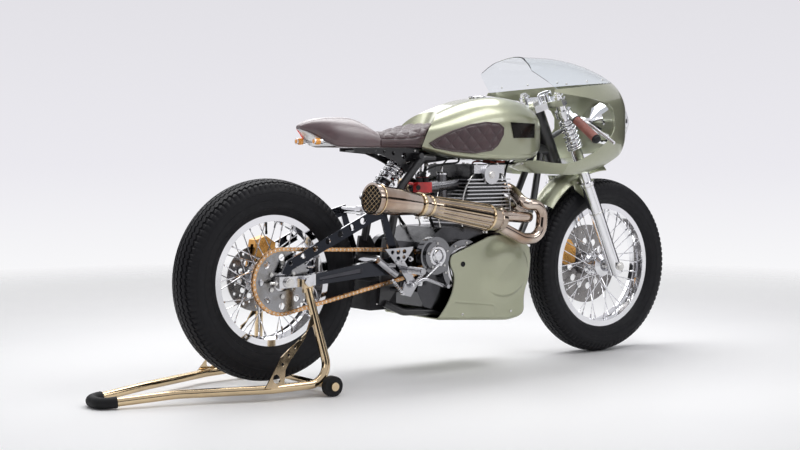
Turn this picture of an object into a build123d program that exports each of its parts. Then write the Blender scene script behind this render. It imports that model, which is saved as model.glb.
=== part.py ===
from build123d import *
import math
import os

os.makedirs("parts", exist_ok=True)

# Sizes are in millimetres. X runs forward from the rear axle, Y to the left, Z up from the floor.

# Wheels
WHEELBASE = 1521.0
REAR_RADIUS = 336.0
REAR_LIFT = 26.0
FRONT_RADIUS = 341.0
REAR_Z = REAR_RADIUS + REAR_LIFT
FRONT_Z = FRONT_RADIUS
AXLE_R = 9.0
AXLE_PLAY = 0.05
SPOKE_R = 1.9
SPOKE_COUNT = 36

# Fork and steering
RAKE = math.radians(24.7)
LEG_Y = 95.0
LEG_OFFSET = 45.0
STANCHION_R = 20.5
SLIDER_R = 26.0
SLIDER_TOP = 352.0
LOWER_YOKE_S = 425.0
UPPER_YOKE_S = 684.0
FORK_TOP_S = 722.0
YOKE_T = 26.0
SPRING_LOW_S = 500.0
STEM_R = 13.0
HEAD_R = 30.0
HEAD_GAP = 1.0

# Stand
STAND_TUBE_R = 14.0
GRIP_R = 18.0
ROLLER_R = 33.0
ROLLER_T = 24.0
ROLLER_X = 86.0
ROLLER_PIN_R = 8.0
STAND_HALF = 232.0
HANDLE_X = -616.0
HANDLE_HALF = 46.0
RAIL_KINK = (-388.0, 104.0, 33.0)
GRIP_SHARE = 0.79
SPOOL_X = 64.0
SPOOL_Y = 137.0
SPOOL_R = 10.0

# Drive
CHAIN_Y = -95.0
CHAIN_PITCH = 15.875
REAR_TEETH = 42
FRONT_PITCH_R = 45.0
OUTPUT_X = 525.0
OUTPUT_Z = 400.0
SPROCKET_T = 6.0
CHAIN_SIDE_PLAY = 0.6
LINK_T = 2.2
LINK_HALF = 7.0
LINK_WAIST = 4.6

# Swingarm
PIVOT_X = 440.0
PIVOT_Z = 398.0
ARM_IN_Y = 112.0
ARM_T = 26.0
BRACE_T = 8.0

# Frame
BACKBONE_Z = 800.0
POST_TOP_Z = 764.0
TUNNEL_HALF = 38.0
POST_Y = 78.0
PLATE_Y = 80.0
PLATE_T = 12.0
CRADLE_Y = 112.0
CRADLE_R = 13.0
SIDE_X = 560.0
SIDE_Y = 158.0
SIDE_Z = 236.0
SIDE_PIN_R = 6.0

# Engine and exhaust
CASE_HALF = 128.0
CYL_X = 850.0
CYL_HALF_X = 100.0
CYL_HALF_Y = 128.0
CYL_LOW_Z = 520.0
HEAD_LOW_Z = 632.0
HEAD_TOP_Z = 742.0
HEAD_HALF_X = 75.0
CAM_Z = 704.0
FIN_STEP = 13.0
FIN_T = 4.0
PORT_X = 922.0
PORT_Y = 76.0
PORT_Z = 668.0
CARB_Y = 62.0
LEAD_Y = 66.0
LEAD_Z = 750.0
LEAD_R = 3.0
PIPE_R = 21.0
PAN_HALF = 166.0
PAN_T = 4.0
BULGE_X = 893.0
BULGE_Z = 366.0
BULGE_R = 93.0
FLUTES = 16

# Fairing
FAIR_HALF = 208.0
FAIR_LOW_Z = 855.0
FAIR_HIGH_Z = 934.0
NOSE_X = 1608.0
NOSE_R = 160.0
FAIR_SHOULDER_X = 1200.0
FAIR_BACK_X = 905.0
ARM_BACK_X = 1010.0
ARM_BACK_R = 120.0
ARM_PIN_X = 1042.0
ARM_PIN_Z = 742.0
ARM_PIN_R = 5.0
FAIR_T = 3.5
SCREEN_T = 3.0
LAMP_Z = 900.0
LAMP_R = 86.0
LAMP_STAY_X = 1476.0

# Seat and tank
SEAT_NOSE_X = 512.0
SEAT_NOSE_R = 118.0
SEAT_NOSE_TILT = 28.0
TANK_SEAT_GAP = 3.0
SEAT_BASE_Z = 800.0
SEAT_GAP = 0.5
SEAT_SPLIT_X = 392.0
RAIL_Y = 46.0
RAIL_T = 6.0

# Bars and fender
BAR_R = 11.0
GRIP_IN = (1250.0, 165.0, 904.0)
GRIP_OUT = (1238.0, 280.0, 834.0)
FENDER_R = 398.0
FENDER_T = 3.0
FENDER_HALF = 62.0
FENDER_DROP = 22.0
FENDER_CROWN = 10.0

X_MID = (WHEELBASE + FRONT_RADIUS + HANDLE_X - GRIP_R) / 2


def save(name, *shapes):
    """Write one node, with the middle of the whole length at X zero."""
    solids = [solid for shape in shapes for solid in shape.solids()]
    body = solids[0] if len(solids) == 1 else Compound(children=solids)
    export_step(body.moved(Location((-X_MID, 0, 0))), f"parts/{name}.step")


def both(shape):
    """The piece and its mirror image on the other side."""
    return [shape, mirror(shape, about=Plane.XZ)]


def joined(shapes):
    body = shapes[0]
    for shape in shapes[1:]:
        body = body + shape
    return body


def bar(start, end, radius):
    start = Vector(*start)
    end = Vector(*end)
    return extrude(Plane(origin=start, z_dir=end - start) * Circle(radius), (end - start).length)


def hex_bar(start, end, radius):
    start = Vector(*start)
    end = Vector(*end)
    return extrude(Plane(origin=start, z_dir=end - start) * RegularPolygon(radius, 6), (end - start).length)


def path(points, bends):
    """Straight runs joined by arcs tangent to them."""
    corners = [Vector(*point) for point in points]
    edges = []
    start = corners[0]
    for index, bend in enumerate(bends):
        before, corner, after = corners[index : index + 3]
        back = (before - corner).normalized()
        ahead = (after - corner).normalized()
        half = math.acos(max(-1.0, min(1.0, back.dot(ahead)))) / 2
        reach = bend / math.tan(half)
        middle = (back + ahead).normalized()
        enter = corner + back * reach
        leave = corner + ahead * reach
        top = corner + middle * (bend / math.sin(half) - bend)
        if (enter - start).length > 0.01:
            edges.append(Line(start, enter))
        edges.append(ThreePointArc(enter, top, leave))
        start = leave
    if (corners[-1] - start).length > 0.01:
        edges.append(Line(start, corners[-1]))
    return Wire(edges)


def tube(points, bends, radius):
    way = path(points, bends)
    return sweep(Plane(origin=way @ 0, z_dir=way % 0) * Circle(radius), path=way)


def side_plate(points, y_left, thickness):
    """A plate drawn from the side in X and Z, reaching to the right from y_left."""
    face = make_face(Polyline(*points, close=True))
    return extrude(Plane(origin=(0, y_left, 0), x_dir=(1, 0, 0), z_dir=(0, -1, 0)) * face, thickness)


def cross_bar(x, z, y_from, y_to, radius):
    return bar((x, y_from, z), (x, y_to, z), radius)


def turned(profile, x, z):
    """A ring or disc about an axis along Y, from a profile of radius and Y."""
    face = make_face(Polyline(*profile, close=True))
    return Pos(x, 0, z) * revolve(face, axis=Axis.Y)


def turned_x(profile, y, z):
    """A round piece about an axis along X, from a profile of X and radius."""
    face = make_face(Polyline(*profile, close=True))
    return Pos(0, y, z) * revolve(face, axis=Axis.X)


def leg_point(s, y=0.0, ahead=0.0):
    """A place along the fork legs, s up from the axle, and ahead of them."""
    x = WHEELBASE - s * math.sin(RAKE) + ahead * math.cos(RAKE)
    z = FRONT_Z + s * math.cos(RAKE) + ahead * math.sin(RAKE)
    return (x, y, z)


FORK_PLANE_Z = Vector(-math.sin(RAKE), 0, math.cos(RAKE))


def fork_plane(s, y=0.0, ahead=0.0):
    return Plane(origin=leg_point(s, y, ahead), x_dir=(0, 1, 0), z_dir=FORK_PLANE_Z)


def section(x, half, low, high, top_round, low_round):
    """A slice across the machine with rounded shoulders."""
    flat = Rectangle(2 * half, high - low)
    flat = fillet(flat.vertices().group_by(Axis.Y)[-1], top_round)
    flat = fillet(flat.vertices().group_by(Axis.Y)[0], low_round)
    plane = Plane(origin=(x, 0, (low + high) / 2), x_dir=(0, 1, 0), z_dir=(1, 0, 0))
    return plane * flat


def lofted(rows, grow=0.0, ruled=False):
    slices = []
    for x, half, low, high, top_round, low_round in rows:
        slices.append(section(x, half + grow, low - grow, high + grow, top_round + grow, low_round + grow))
    return loft(slices, ruled=ruled)


# Wheels: tyre, rim, spokes and hub
WHEELS = [
    # name, axle x, axle z, tyre radius, half section, rim flange radius, flange half, hub flange radius, hub half
    ("rear", 0.0, REAR_Z, REAR_RADIUS, 66.0, 217.0, 44.0, 62.0, 34.0),
    ("front", WHEELBASE, FRONT_Z, FRONT_RADIUS, 58.0, 242.0, 36.0, 44.0, 32.0),
]

for name, x, z, radius, half, flange, flange_half, hub_flange, hub_half in WHEELS:
    bed = flange - 12
    wall = flange_half - 4.7
    shoulder = radius - 18
    middle = (flange + shoulder) / 2
    edges = [
        Polyline((flange + 0.5, -flange_half - 2), (flange + 0.5, -wall), (bed, -wall), (bed, wall),
                 (flange + 0.5, wall), (flange + 0.5, flange_half + 2)),
        ThreePointArc((flange + 0.5, flange_half + 2), (middle, half), (shoulder, half * 0.86)),
        ThreePointArc((shoulder, half * 0.86), (radius, 0), (shoulder, -half * 0.86)),
        ThreePointArc((shoulder, -half * 0.86), (middle, -half), (flange + 0.5, -flange_half - 2)),
    ]
    save(f"{name}_tyre", Pos(x, 0, z) * revolve(make_face(edges), axis=Axis.Y))
    save(f"{name}_rim", turned([
        (bed, -wall), (bed, wall), (flange, wall + 0.3), (flange, flange_half), (bed - 9, flange_half),
        (bed - 13, flange_half - 20), (bed - 16, 8), (bed - 16, -8), (bed - 13, 20 - flange_half),
        (bed - 9, -flange_half), (flange, -flange_half), (flange, -wall - 0.3)], x, z))
    spokes = []
    for index in range(SPOKE_COUNT):
        side = 1 if index % 2 else -1
        lean = 1 if index % 4 < 2 else -1
        rim_at = 2 * math.pi * index / SPOKE_COUNT
        hub_at = rim_at + lean * math.radians(38)
        inner = hub_flange - 3
        outer = bed - 15
        layer = hub_half - (0 if lean > 0 else 5)
        spokes.append(hex_bar(
            (x + inner * math.cos(hub_at), side * (layer - 1), z + inner * math.sin(hub_at)),
            (x + outer * math.cos(rim_at), side * 6, z + outer * math.sin(rim_at)), SPOKE_R))
    save(f"{name}_spokes", *spokes)

REAR_PITCH_R = CHAIN_PITCH / (2 * math.sin(math.pi / REAR_TEETH))
bore = AXLE_R + AXLE_PLAY
save("rear_hub", turned([
    (bore, -88), (34, -88), (34, -82), (60, -82), (60, -60), (40, -56), (40, -38), (62, -36), (62, -30),
    (44, -26), (38, 0), (44, 26), (62, 30), (62, 36), (44, 40), (44, 68), (36, 72), (36, 76), (bore, 76)], 0, REAR_Z))
save("front_hub", turned([
    (bore, -56), (24, -56), (24, -44), (44, -35), (44, -29), (30, -24), (28, 0), (30, 24), (44, 29), (44, 35),
    (36, 40), (36, 58), (bore, 58)], WHEELBASE, FRONT_Z))

DISCS = [
    # name, axle x, axle z, inner y, outer radius, inner radius
    ("rear_disc", 0.0, REAR_Z, 68.0, 110.0, 44.0),
    ("front_disc", WHEELBASE, FRONT_Z, 58.0, 155.0, 36.0),
]
for name, x, z, y, outer, inner in DISCS:
    disc = cross_bar(x, z, y, y + 5, outer) - cross_bar(x, z, y - 1, y + 6, inner)
    for index in range(12):
        turn = 2 * math.pi * index / 12
        for radius, hole, shift in [(outer - 14, 5, 0.0), (outer - 28, 4, 0.2), (outer * 0.58, outer * 0.09, 0.1)]:
            disc = disc - cross_bar(x + radius * math.cos(turn + shift), z + radius * math.sin(turn + shift),
                                    y - 1, y + 6, hole)
    save(name, disc)

TOOTH = [
    # share of the pitch, reach past the pitch circle
    (0.0, 3.6), (0.3, 3.6), (0.42, -3.4), (0.88, -3.4),
]
teeth = []
for index in range(REAR_TEETH):
    for part, reach in TOOTH:
        turn = 2 * math.pi * (index + part) / REAR_TEETH
        teeth.append(((REAR_PITCH_R + reach) * math.cos(turn), REAR_Z + (REAR_PITCH_R + reach) * math.sin(turn)))
sprocket = side_plate(teeth, CHAIN_Y + SPROCKET_T / 2, SPROCKET_T)
sprocket = sprocket - cross_bar(0, REAR_Z, CHAIN_Y - 10, CHAIN_Y + 10, 32)
for index in range(8):
    turn = 2 * math.pi * index / 8
    sprocket = sprocket - cross_bar(80 * math.cos(turn), REAR_Z + 80 * math.sin(turn), CHAIN_Y - 10, CHAIN_Y + 10, 12)
sprocket = sprocket + (cross_bar(0, REAR_Z, CHAIN_Y + SPROCKET_T / 2, -82, 56) - cross_bar(0, REAR_Z, -100, -80, 34))
save("rear_sprocket", sprocket)

# Chain: a loop round both sprockets, as a row of link points
step_x = OUTPUT_X
step_z = OUTPUT_Z - REAR_Z
span = math.hypot(step_x, step_z)
heading = math.atan2(step_z, step_x)
spread = math.asin((REAR_PITCH_R - FRONT_PITCH_R) / span)
run = span * math.cos(spread)
rear_wrap = math.pi + 2 * spread
front_wrap = math.pi - 2 * spread
loop_length = 2 * run + REAR_PITCH_R * rear_wrap + FRONT_PITCH_R * front_wrap
LINKS = 2 * round(loop_length / CHAIN_PITCH / 2)
upper = heading + math.pi / 2 - spread
lower = heading - math.pi / 2 + spread


def chain_point(distance, offset):
    """A point along the loop, offset outward, and True on a straight run."""
    distance = distance % loop_length
    normal_up = (math.cos(upper), math.sin(upper))
    along = (math.sin(upper), -math.cos(upper))
    if distance < run:
        return ((REAR_PITCH_R + offset) * normal_up[0] + distance * along[0],
                REAR_Z + (REAR_PITCH_R + offset) * normal_up[1] + distance * along[1]), True
    distance -= run
    if distance < FRONT_PITCH_R * front_wrap:
        turn = upper - distance / FRONT_PITCH_R
        reach = FRONT_PITCH_R + offset
        return (OUTPUT_X + reach * math.cos(turn), OUTPUT_Z + reach * math.sin(turn)), False
    distance -= FRONT_PITCH_R * front_wrap
    if distance < run:
        normal = (math.cos(lower), math.sin(lower))
        along = (math.sin(lower), -math.cos(lower))
        return (OUTPUT_X + (FRONT_PITCH_R + offset) * normal[0] + distance * along[0],
                OUTPUT_Z + (FRONT_PITCH_R + offset) * normal[1] + distance * along[1]), True
    distance -= run
    turn = lower - distance / REAR_PITCH_R
    reach = REAR_PITCH_R + offset
    return (reach * math.cos(turn), REAR_Z + reach * math.sin(turn)), False


outer_edge = []
inner_edge = []
for index in range(2 * LINKS):
    width = LINK_HALF if index % 2 == 0 else LINK_WAIST
    distance = index * loop_length / (2 * LINKS)
    outer_edge.append(chain_point(distance, width)[0])
    inner_edge.append(chain_point(distance, -width)[0])
side_gap = SPROCKET_T / 2 + CHAIN_SIDE_PLAY
strips = []
for y_left in (CHAIN_Y + side_gap + LINK_T, CHAIN_Y - side_gap):
    strips.append(side_plate(outer_edge, y_left, LINK_T) - side_plate(inner_edge, y_left + 1, LINK_T + 2))
pins = []
for index in range(LINKS):
    place, straight = chain_point(index * loop_length / LINKS, 0)
    if straight and place[0] > 55 and place[0] < OUTPUT_X - 30:
        pins.append(cross_bar(place[0], place[1], CHAIN_Y - side_gap - 0.5, CHAIN_Y + side_gap + 0.5, 3.2))
save("drive_chain", joined([strips[0]] + pins + [strips[1]]))

# Rear axle and swingarm
save("rear_axle", joined([
    cross_bar(0, REAR_Z, -140, 140, AXLE_R),
    cross_bar(0, REAR_Z, -148, -138, 15),
    cross_bar(0, REAR_Z, 138, 148, 15)]))

BEAM = [(-34, 344), (-34, 381), (70, 381), (295, 411), (PIVOT_X - 20, 428), (PIVOT_X + 24, 412),
        (PIVOT_X + 24, 380), (PIVOT_X - 20, 368), (306, 363), (90, 347)]
BRACE = [(-18, 392), (4, 432), (328, 582), (398, 600), (404, 566), (338, 545), (22, 402), (10, 384)]
STRUT = [(372, 590), (404, 566), (PIVOT_X + 16, 420), (PIVOT_X - 20, 416)]
BRACE_HOLES = [
    # x, z, radius
    (16, 423, 8.0), (64, 445, 9.0), (112, 467, 9.5), (162, 490, 10.0), (211, 512, 10.5), (258, 533, 11.0),
    (303, 553, 11.5),
]
beam = side_plate(BEAM, ARM_IN_Y + ARM_T, ARM_T)
brace = side_plate(BRACE, ARM_IN_Y + BRACE_T + 6, BRACE_T) + side_plate(STRUT, ARM_IN_Y + BRACE_T + 6, BRACE_T)
for x, z, radius in BRACE_HOLES:
    brace = brace - cross_bar(x, z, ARM_IN_Y, ARM_IN_Y + 30, radius)
beam = beam - side_plate([(120, 362), (290, 378), (290, 396), (120, 374)], ARM_IN_Y + ARM_T + 1, 8)
arm = beam + brace
arm = arm - cross_bar(0, REAR_Z, ARM_IN_Y - 1, ARM_IN_Y + ARM_T + 1, AXLE_R)
arm = arm + cross_bar(SPOOL_X, REAR_Z + 2, SPOOL_Y, SPOOL_Y + 30, SPOOL_R)
arm = arm + cross_bar(SPOOL_X, REAR_Z + 2, SPOOL_Y + 24, SPOOL_Y + 30, SPOOL_R + 6)
swingarm = joined(both(arm) + [
    cross_bar(PIVOT_X, PIVOT_Z, -ARM_IN_Y - 2, ARM_IN_Y + 2, 26),
    cross_bar(384, 582, -ARM_IN_Y - 8, ARM_IN_Y + 8, 12)])
save("swingarm", swingarm)

# Monoshock between the cross tube of the swingarm and the frame
SHOCK_LOW = (384.0, 0.0, 582.0)
SHOCK_HIGH = (578.0, 0.0, 772.0)
low = Vector(*SHOCK_LOW)
high = Vector(*SHOCK_HIGH)
shock_way = (high - low).normalized()
shock_plane = Plane(origin=low, z_dir=shock_way)
shock_length = (high - low).length
shock = shock_plane * (Pos(0, 0, 12) * Cylinder(9, shock_length - 24, align=(Align.CENTER, Align.CENTER, Align.MIN)))
shock = shock + shock_plane * (Pos(0, 0, 150) * Cylinder(24, 84, align=(Align.CENTER, Align.CENTER, Align.MIN)))
shock = shock + shock_plane * (Pos(0, 0, 40) * Cylinder(38, 8, align=(Align.CENTER, Align.CENTER, Align.MIN)))
shock = shock + shock_plane * (Pos(0, 0, 208) * Cylinder(38, 8, align=(Align.CENTER, Align.CENTER, Align.MIN)))
shock = shock + (bar((384, -16, 582), (384, 16, 582), 18) - bar((384, -17, 582), (384, 17, 582), 12))
shock = shock + bar((578, -16, 772), (578, 16, 772), 16)
save("monoshock", shock)


def coil(inner, outer, length, turns):
    """A spring as a ridged sleeve about Z."""
    pitch = length / turns
    profile = [(inner, 0), (outer - 5, 0)]
    for index in range(turns):
        profile.append((outer, (index + 0.35) * pitch))
        profile.append((outer, (index + 0.65) * pitch))
        profile.append((outer - 5, (index + 1) * pitch))
    profile.append((inner, length))
    face = make_face(Polyline(*[(r, 0, h) for r, h in profile], close=True))
    return revolve(face, axis=Axis.Z)


save("shock_spring", shock_plane * (Pos(0, 0, 48) * coil(26, 37, 160, 7)))

# Rear brake caliper over the disc on the left
caliper = side_plate([(-20, 440), (-10, 492), (30, 504), (66, 480), (60, 436), (22, 428)], 96, 46)
caliper = caliper - cross_bar(0, REAR_Z, 61, 80, 116)
bracket = side_plate([(-20, 440), (22, 428), (30, 385), (-26, 385)], 96, 8)
caliper = caliper + bracket + side_plate([(-26, 386), (30, 386), (20, 350), (-20, 350)], 96, 8)
caliper = caliper + cross_bar(0, REAR_Z, 88, ARM_IN_Y, 17)
save("rear_caliper", caliper - cross_bar(0, REAR_Z, 80, 130, AXLE_R))

# Main frame: head tube, backbone, seat posts and pivot plates
AXIS_LOW = leg_point(LOWER_YOKE_S + YOKE_T + HEAD_GAP, 0, -LEG_OFFSET)
AXIS_HIGH = leg_point(UPPER_YOKE_S - HEAD_GAP, 0, -LEG_OFFSET)
head_tube = bar(AXIS_LOW, AXIS_HIGH, HEAD_R) - bar(
    leg_point(LOWER_YOKE_S, 0, -LEG_OFFSET), leg_point(FORK_TOP_S, 0, -LEG_OFFSET), STEM_R + 1)
head_bore = bar(leg_point(LOWER_YOKE_S, 0, -LEG_OFFSET), leg_point(FORK_TOP_S, 0, -LEG_OFFSET), STEM_R + 1)
frame_parts = [
    bar(leg_point(520, 0, -LEG_OFFSET), (960, 0, BACKBONE_Z), 22),
    bar((960, 0, BACKBONE_Z), (640, 0, POST_TOP_Z), 22),
    Pos(960, 0, BACKBONE_Z) * Sphere(22),
    cross_bar(640, POST_TOP_Z, -POST_Y, POST_Y, 13),
    cross_bar(578, 772, -92, 92, 10),
    cross_bar(1080, 806, -TUNNEL_HALF, TUNNEL_HALF, 9),
    cross_bar(720, 776, -TUNNEL_HALF, TUNNEL_HALF, 9),
    bar((ARM_PIN_X, 0, ARM_PIN_Z), (ARM_PIN_X, 0, BACKBONE_Z - 15), 8),
    cross_bar(ARM_PIN_X, ARM_PIN_Z, -56, 56, ARM_PIN_R),
]
post = tube([(640, POST_Y, POST_TOP_Z), (588, POST_Y, POST_TOP_Z), (490, POST_Y, 655), (448, PLATE_Y - 6, 470)],
            [30, 80], 14)
pivot_plate = side_plate([(424, 490), (470, 490), (500, 440), (500, 350), (470, 300), (430, 250), (402, 262),
                          (412, 350), (414, 430)], PLATE_Y, PLATE_T)
pivot_plate = pivot_plate - cross_bar(PIVOT_X, PIVOT_Z, PLATE_Y - 20, PLATE_Y + 10, 26)
frame_parts = frame_parts + both(post) + both(pivot_plate)
frame_parts.append(cross_bar(430, 268, 1 - PLATE_Y, PLATE_Y - 1, 12))
stay = [
    bar(leg_point(560, 0, -LEG_OFFSET), leg_point(560, 0, 70), 10),
    bar(leg_point(560, 0, 70), (LAMP_STAY_X, 0, LAMP_Z), 10),
    Pos(*leg_point(560, 0, 70)) * Sphere(10),
]
main_frame = head_tube
for piece in frame_parts + stay:
    main_frame = main_frame + piece
main_frame = main_frame - head_bore - shock.solids()[0]
save("main_frame", main_frame)

# Cradle: two tubes from the head down past the engine and back to the pivot plates
cradle = tube([(1196, 24, 776), (1130, 56, 590), (998, CRADLE_Y - 4, 440), (966, CRADLE_Y, 208),
               (480, CRADLE_Y, 232), (424, PLATE_Y + 4, 262)], [120, 100, 60, 40], CRADLE_R)
cradle = joined(both(cradle) + [cross_bar(961, 242, -CRADLE_Y, CRADLE_Y, 9), cross_bar(1128, 586, -56, 56, 11)])
lug = side_plate([(538, 254), (582, 254), (582, 218), (538, 218)], SIDE_Y - 8, 30)
lug = lug + cross_bar(SIDE_X, SIDE_Z, SIDE_Y - 18, SIDE_Y + 8, SIDE_PIN_R)
lug = lug + cross_bar(SIDE_X, SIDE_Z, SIDE_Y + 8, SIDE_Y + 12, SIDE_PIN_R + 5)
cradle = cradle + lug
save("frame_cradle", cradle - main_frame - head_bore)

# Seat rails: drilled side plates under the seat
RAIL = [(324, SEAT_BASE_Z - SEAT_GAP), (600, SEAT_BASE_Z - SEAT_GAP), (600, 760), (572, 706), (559, 702),
        (544, 716), (516, 743), (472, 763), (430, 778), (383, 782), (324, 787)]
RAIL_HOLES = [
    # x, z, radius
    (380, 790, 2.5), (414, 789, 3.5), (449, 787, 5.0), (488, 781, 7.0), (536, 772, 11.0), (552, 744, 6.5),
]
rail = side_plate(RAIL, RAIL_Y, RAIL_T)
for x, z, radius in RAIL_HOLES:
    rail = rail - cross_bar(x, z, RAIL_Y - RAIL_T - 2, RAIL_Y + 2, radius)
rail_in = RAIL_Y - RAIL_T / 2
rails = joined(both(rail) + [cross_bar(345, 792, -rail_in, rail_in, 5), cross_bar(431, 790, -rail_in, rail_in, 5)])
save("seat_rails", rails - main_frame)

# Seat: a smooth hump behind and a pad in front of it
HUMP = [
    # x, half width, low, high, top round, low round
    (126, 16, 862, 874, 5, 4),
    (150, 34, 851, 886, 18, 8),
    (182, 62, 830, 895, 38, 10),
    (222, 86, 806, 901, 60, 12),
    (289, 101, 800, 904, 82, 12),
    (322, 105, 800, 898, 80, 12),
    (350, 108, 800, 883, 64, 12),
    (SEAT_SPLIT_X, 111, 800, 853, 36, 12),
]
SEAT = [
    # x, half width, low, high, top round, low round
    (SEAT_SPLIT_X, 111, 800, 853, 36, 12),
    (440, 113, 800, 853, 34, 12),
    (486, 114, 800, 854, 34, 12),
    (522, 113, 800, 859, 38, 12),
    (559, 111, 800, 870, 44, 12),
    (600, 106, 800, 880, 50, 12),
    (633, 102, 800, 886, 54, 12),
    (700, 94, 800, 888, 54, 12),
]
HUMP_HOLLOW = [
    # x, half width, low, high, top round, low round
    (202, 50, 780, 856, 6, 6),
    (250, 76, 780, 864, 8, 8),
    (350, 86, 780, 852, 8, 8),
]


def seat_zone(radius):
    """All that lies behind the seat's round, undercut front edge."""
    zone = Cylinder(radius, 500) + Pos(-400, 0, 0) * Box(800, 2 * radius, 500)
    return Pos(SEAT_NOSE_X, 0, 850) * (Rot(0, SEAT_NOSE_TILT, 0) * zone)


save("seat_pad", lofted(SEAT, ruled=True) & seat_zone(SEAT_NOSE_R))
hump = lofted(HUMP) - lofted(HUMP_HOLLOW)
save("seat_tail", hump)

# Tail lamps on a strap that hangs from the hump
lamps = Pos(206, 0, 821) * Box(10, 124, 12)
lamps = lamps + bar((206, 0, 821), (206, 0, 872), 6)
for side in (-1, 1):
    lamps = lamps + bar((152, side * 54, 821), (184, side * 54, 821), 11)
    lamps = lamps + bar((184, side * 54, 821), (206, side * 54, 821), 6)
save("tail_lamps", lamps - hump)

# Fuel tank with a tunnel for the backbone
TANK = [
    # x, half width, low, high, top round, low round
    (556, 84, 801, 866, 32, 12),
    (640, 106, 783, 908, 60, 14),
    (730, 128, 764, 944, 84, 18),
    (830, 141, 757, 974, 100, 20),
    (940, 143, 755, 986, 104, 20),
    (1040, 128, 758, 978, 96, 20),
    (1110, 104, 772, 956, 80, 20),
    (1146, 78, 798, 926, 48, 20),
]
tank_zone = seat_zone(SEAT_NOSE_R + TANK_SEAT_GAP)
tunnel = Pos(870, 0, 786) * Box(700, 2 * TUNNEL_HALF, 112)
tank = lofted(TANK) - tank_zone - tunnel
save("fuel_tank", tank)

PAD = [(604, 816), (640, 838), (690, 862), (760, 884), (826, 894), (884, 890), (908, 874), (906, 846),
       (880, 808), (852, 790), (780, 780), (690, 786), (624, 798)]
pad_zone = side_plate(PAD, 200, 100)
pads = (lofted(TANK, 7.0) & pad_zone) - lofted(TANK)
save("knee_pads", *both(pads - tank_zone))
BADGE = [(944, 893), (1083, 890), (1080, 838), (960, 836)]
badge_zone = side_plate(BADGE, 200, 100)
badges = (lofted(TANK, 3.0) & badge_zone) - lofted(TANK)
cap = Pos(905, 0, 972) * Cylinder(30, 28)
save("tank_trim", cap - tank, *both(badges))

# Engine: cases, covers, cylinders, head and carburettors
CASES = [(530, 300), (560, 470), (640, 520), (940, 520), (966, 440), (966, 330), (925, 236), (640, 222), (560, 246)]
cases = side_plate(CASES, CASE_HALF, 2 * CASE_HALF)
cases = cases - cross_bar(OUTPUT_X, OUTPUT_Z, -CASE_HALF - 2, -80, 62)
cases = cases + side_plate([(930, 320), (968, 262), (968, 238), (920, 236)], 24, 48)
cases = cases + side_plate([(494, 340), (545, 340), (545, 300), (490, 306)], PLATE_Y, 2 * PLATE_Y)
save("engine_cases", cases - cradle - main_frame)
COVER_DISCS = [
    # x, z, radius, y from, y to
    (590, 425, 66, 128, 158), (590, 425, 52, 158, 168), (720, 380, 96, 128, 152), (900, 400, 70, 128, 150),
]
covers = []
for side in (-1, 1):
    pieces = []
    for x, z, radius, y_from, y_to in COVER_DISCS:
        pieces.append(cross_bar(x, z, side * y_from, side * y_to, radius))
    covers.append(joined(pieces))
save("engine_covers", *covers)

fin_size = (2 * CYL_HALF_X, 2 * CYL_HALF_Y, FIN_T)
cylinder_h = HEAD_LOW_Z - CYL_LOW_Z
fins = [Pos(CYL_X, 0, CYL_LOW_Z + cylinder_h / 2) * Box(2 * CYL_HALF_X - 40, 2 * CYL_HALF_Y - 40, cylinder_h)]
fin_z = CYL_LOW_Z + 10
while fin_z < HEAD_LOW_Z - FIN_T:
    fins.append(Pos(CYL_X, 0, fin_z) * Box(*fin_size))
    fin_z += FIN_STEP
cylinders = joined(fins)
save("engine_cylinders", cylinders)
head = Pos(CYL_X, 0, (HEAD_LOW_Z + HEAD_TOP_Z) / 2) * Box(2 * HEAD_HALF_X, 230, HEAD_TOP_Z - HEAD_LOW_Z)
fin_z = HEAD_LOW_Z + 3
while fin_z < HEAD_LOW_Z + 60:
    head = head + Pos(CYL_X, 0, fin_z) * Box(2 * CYL_HALF_X, 2 * CYL_HALF_Y + 14, FIN_T)
    fin_z += FIN_STEP
head = head + cross_bar(CYL_X, CAM_Z, -150, 150, 34)
head = head + Pos(CYL_X, 0, CAM_Z + 20) * Box(140, 270, 30)
save("engine_head", head)

carbs = bar((686, -CARB_Y, 668), (686, CARB_Y, 668), 8)
for side in (-1, 1):
    y = side * CARB_Y
    carbs = carbs + bar((CYL_X - 70, y, 676), (652, y, 662), 25)
    carbs = carbs + bar((690, y, 604), (690, y, 706), 20)
    carbs = carbs + bar((652, y, 662), (612, y, 658), 33)
save("carburettors", carbs - head - cylinders)
coil_pack = Pos(575, -100, 662) * Box(60, 30, 36)
for x in (560, 588):
    coil_pack = coil_pack + bar((x, -100, 680), (x, -100, 698), 11)
coil_pack = coil_pack + bar((556, -92, 672), (508, -80, 680), 5)
save("coil_pack", coil_pack - main_frame)

# Ignition leads from a coil under the backbone to the plugs in the head
leads = Pos(975, 0, 762) * Box(50, 44, 34)
for side in (-1, 1):
    y = side * LEAD_Y
    leads = leads + tube([(985, side * 20, LEAD_Z), (985, y, LEAD_Z), (935, y, LEAD_Z), (935, y, 705)], [14, 14], LEAD_R)
    leads = leads + bar((935, y, 690), (935, y, 712), 8)
save("ignition_leads", leads - main_frame - head)

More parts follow.
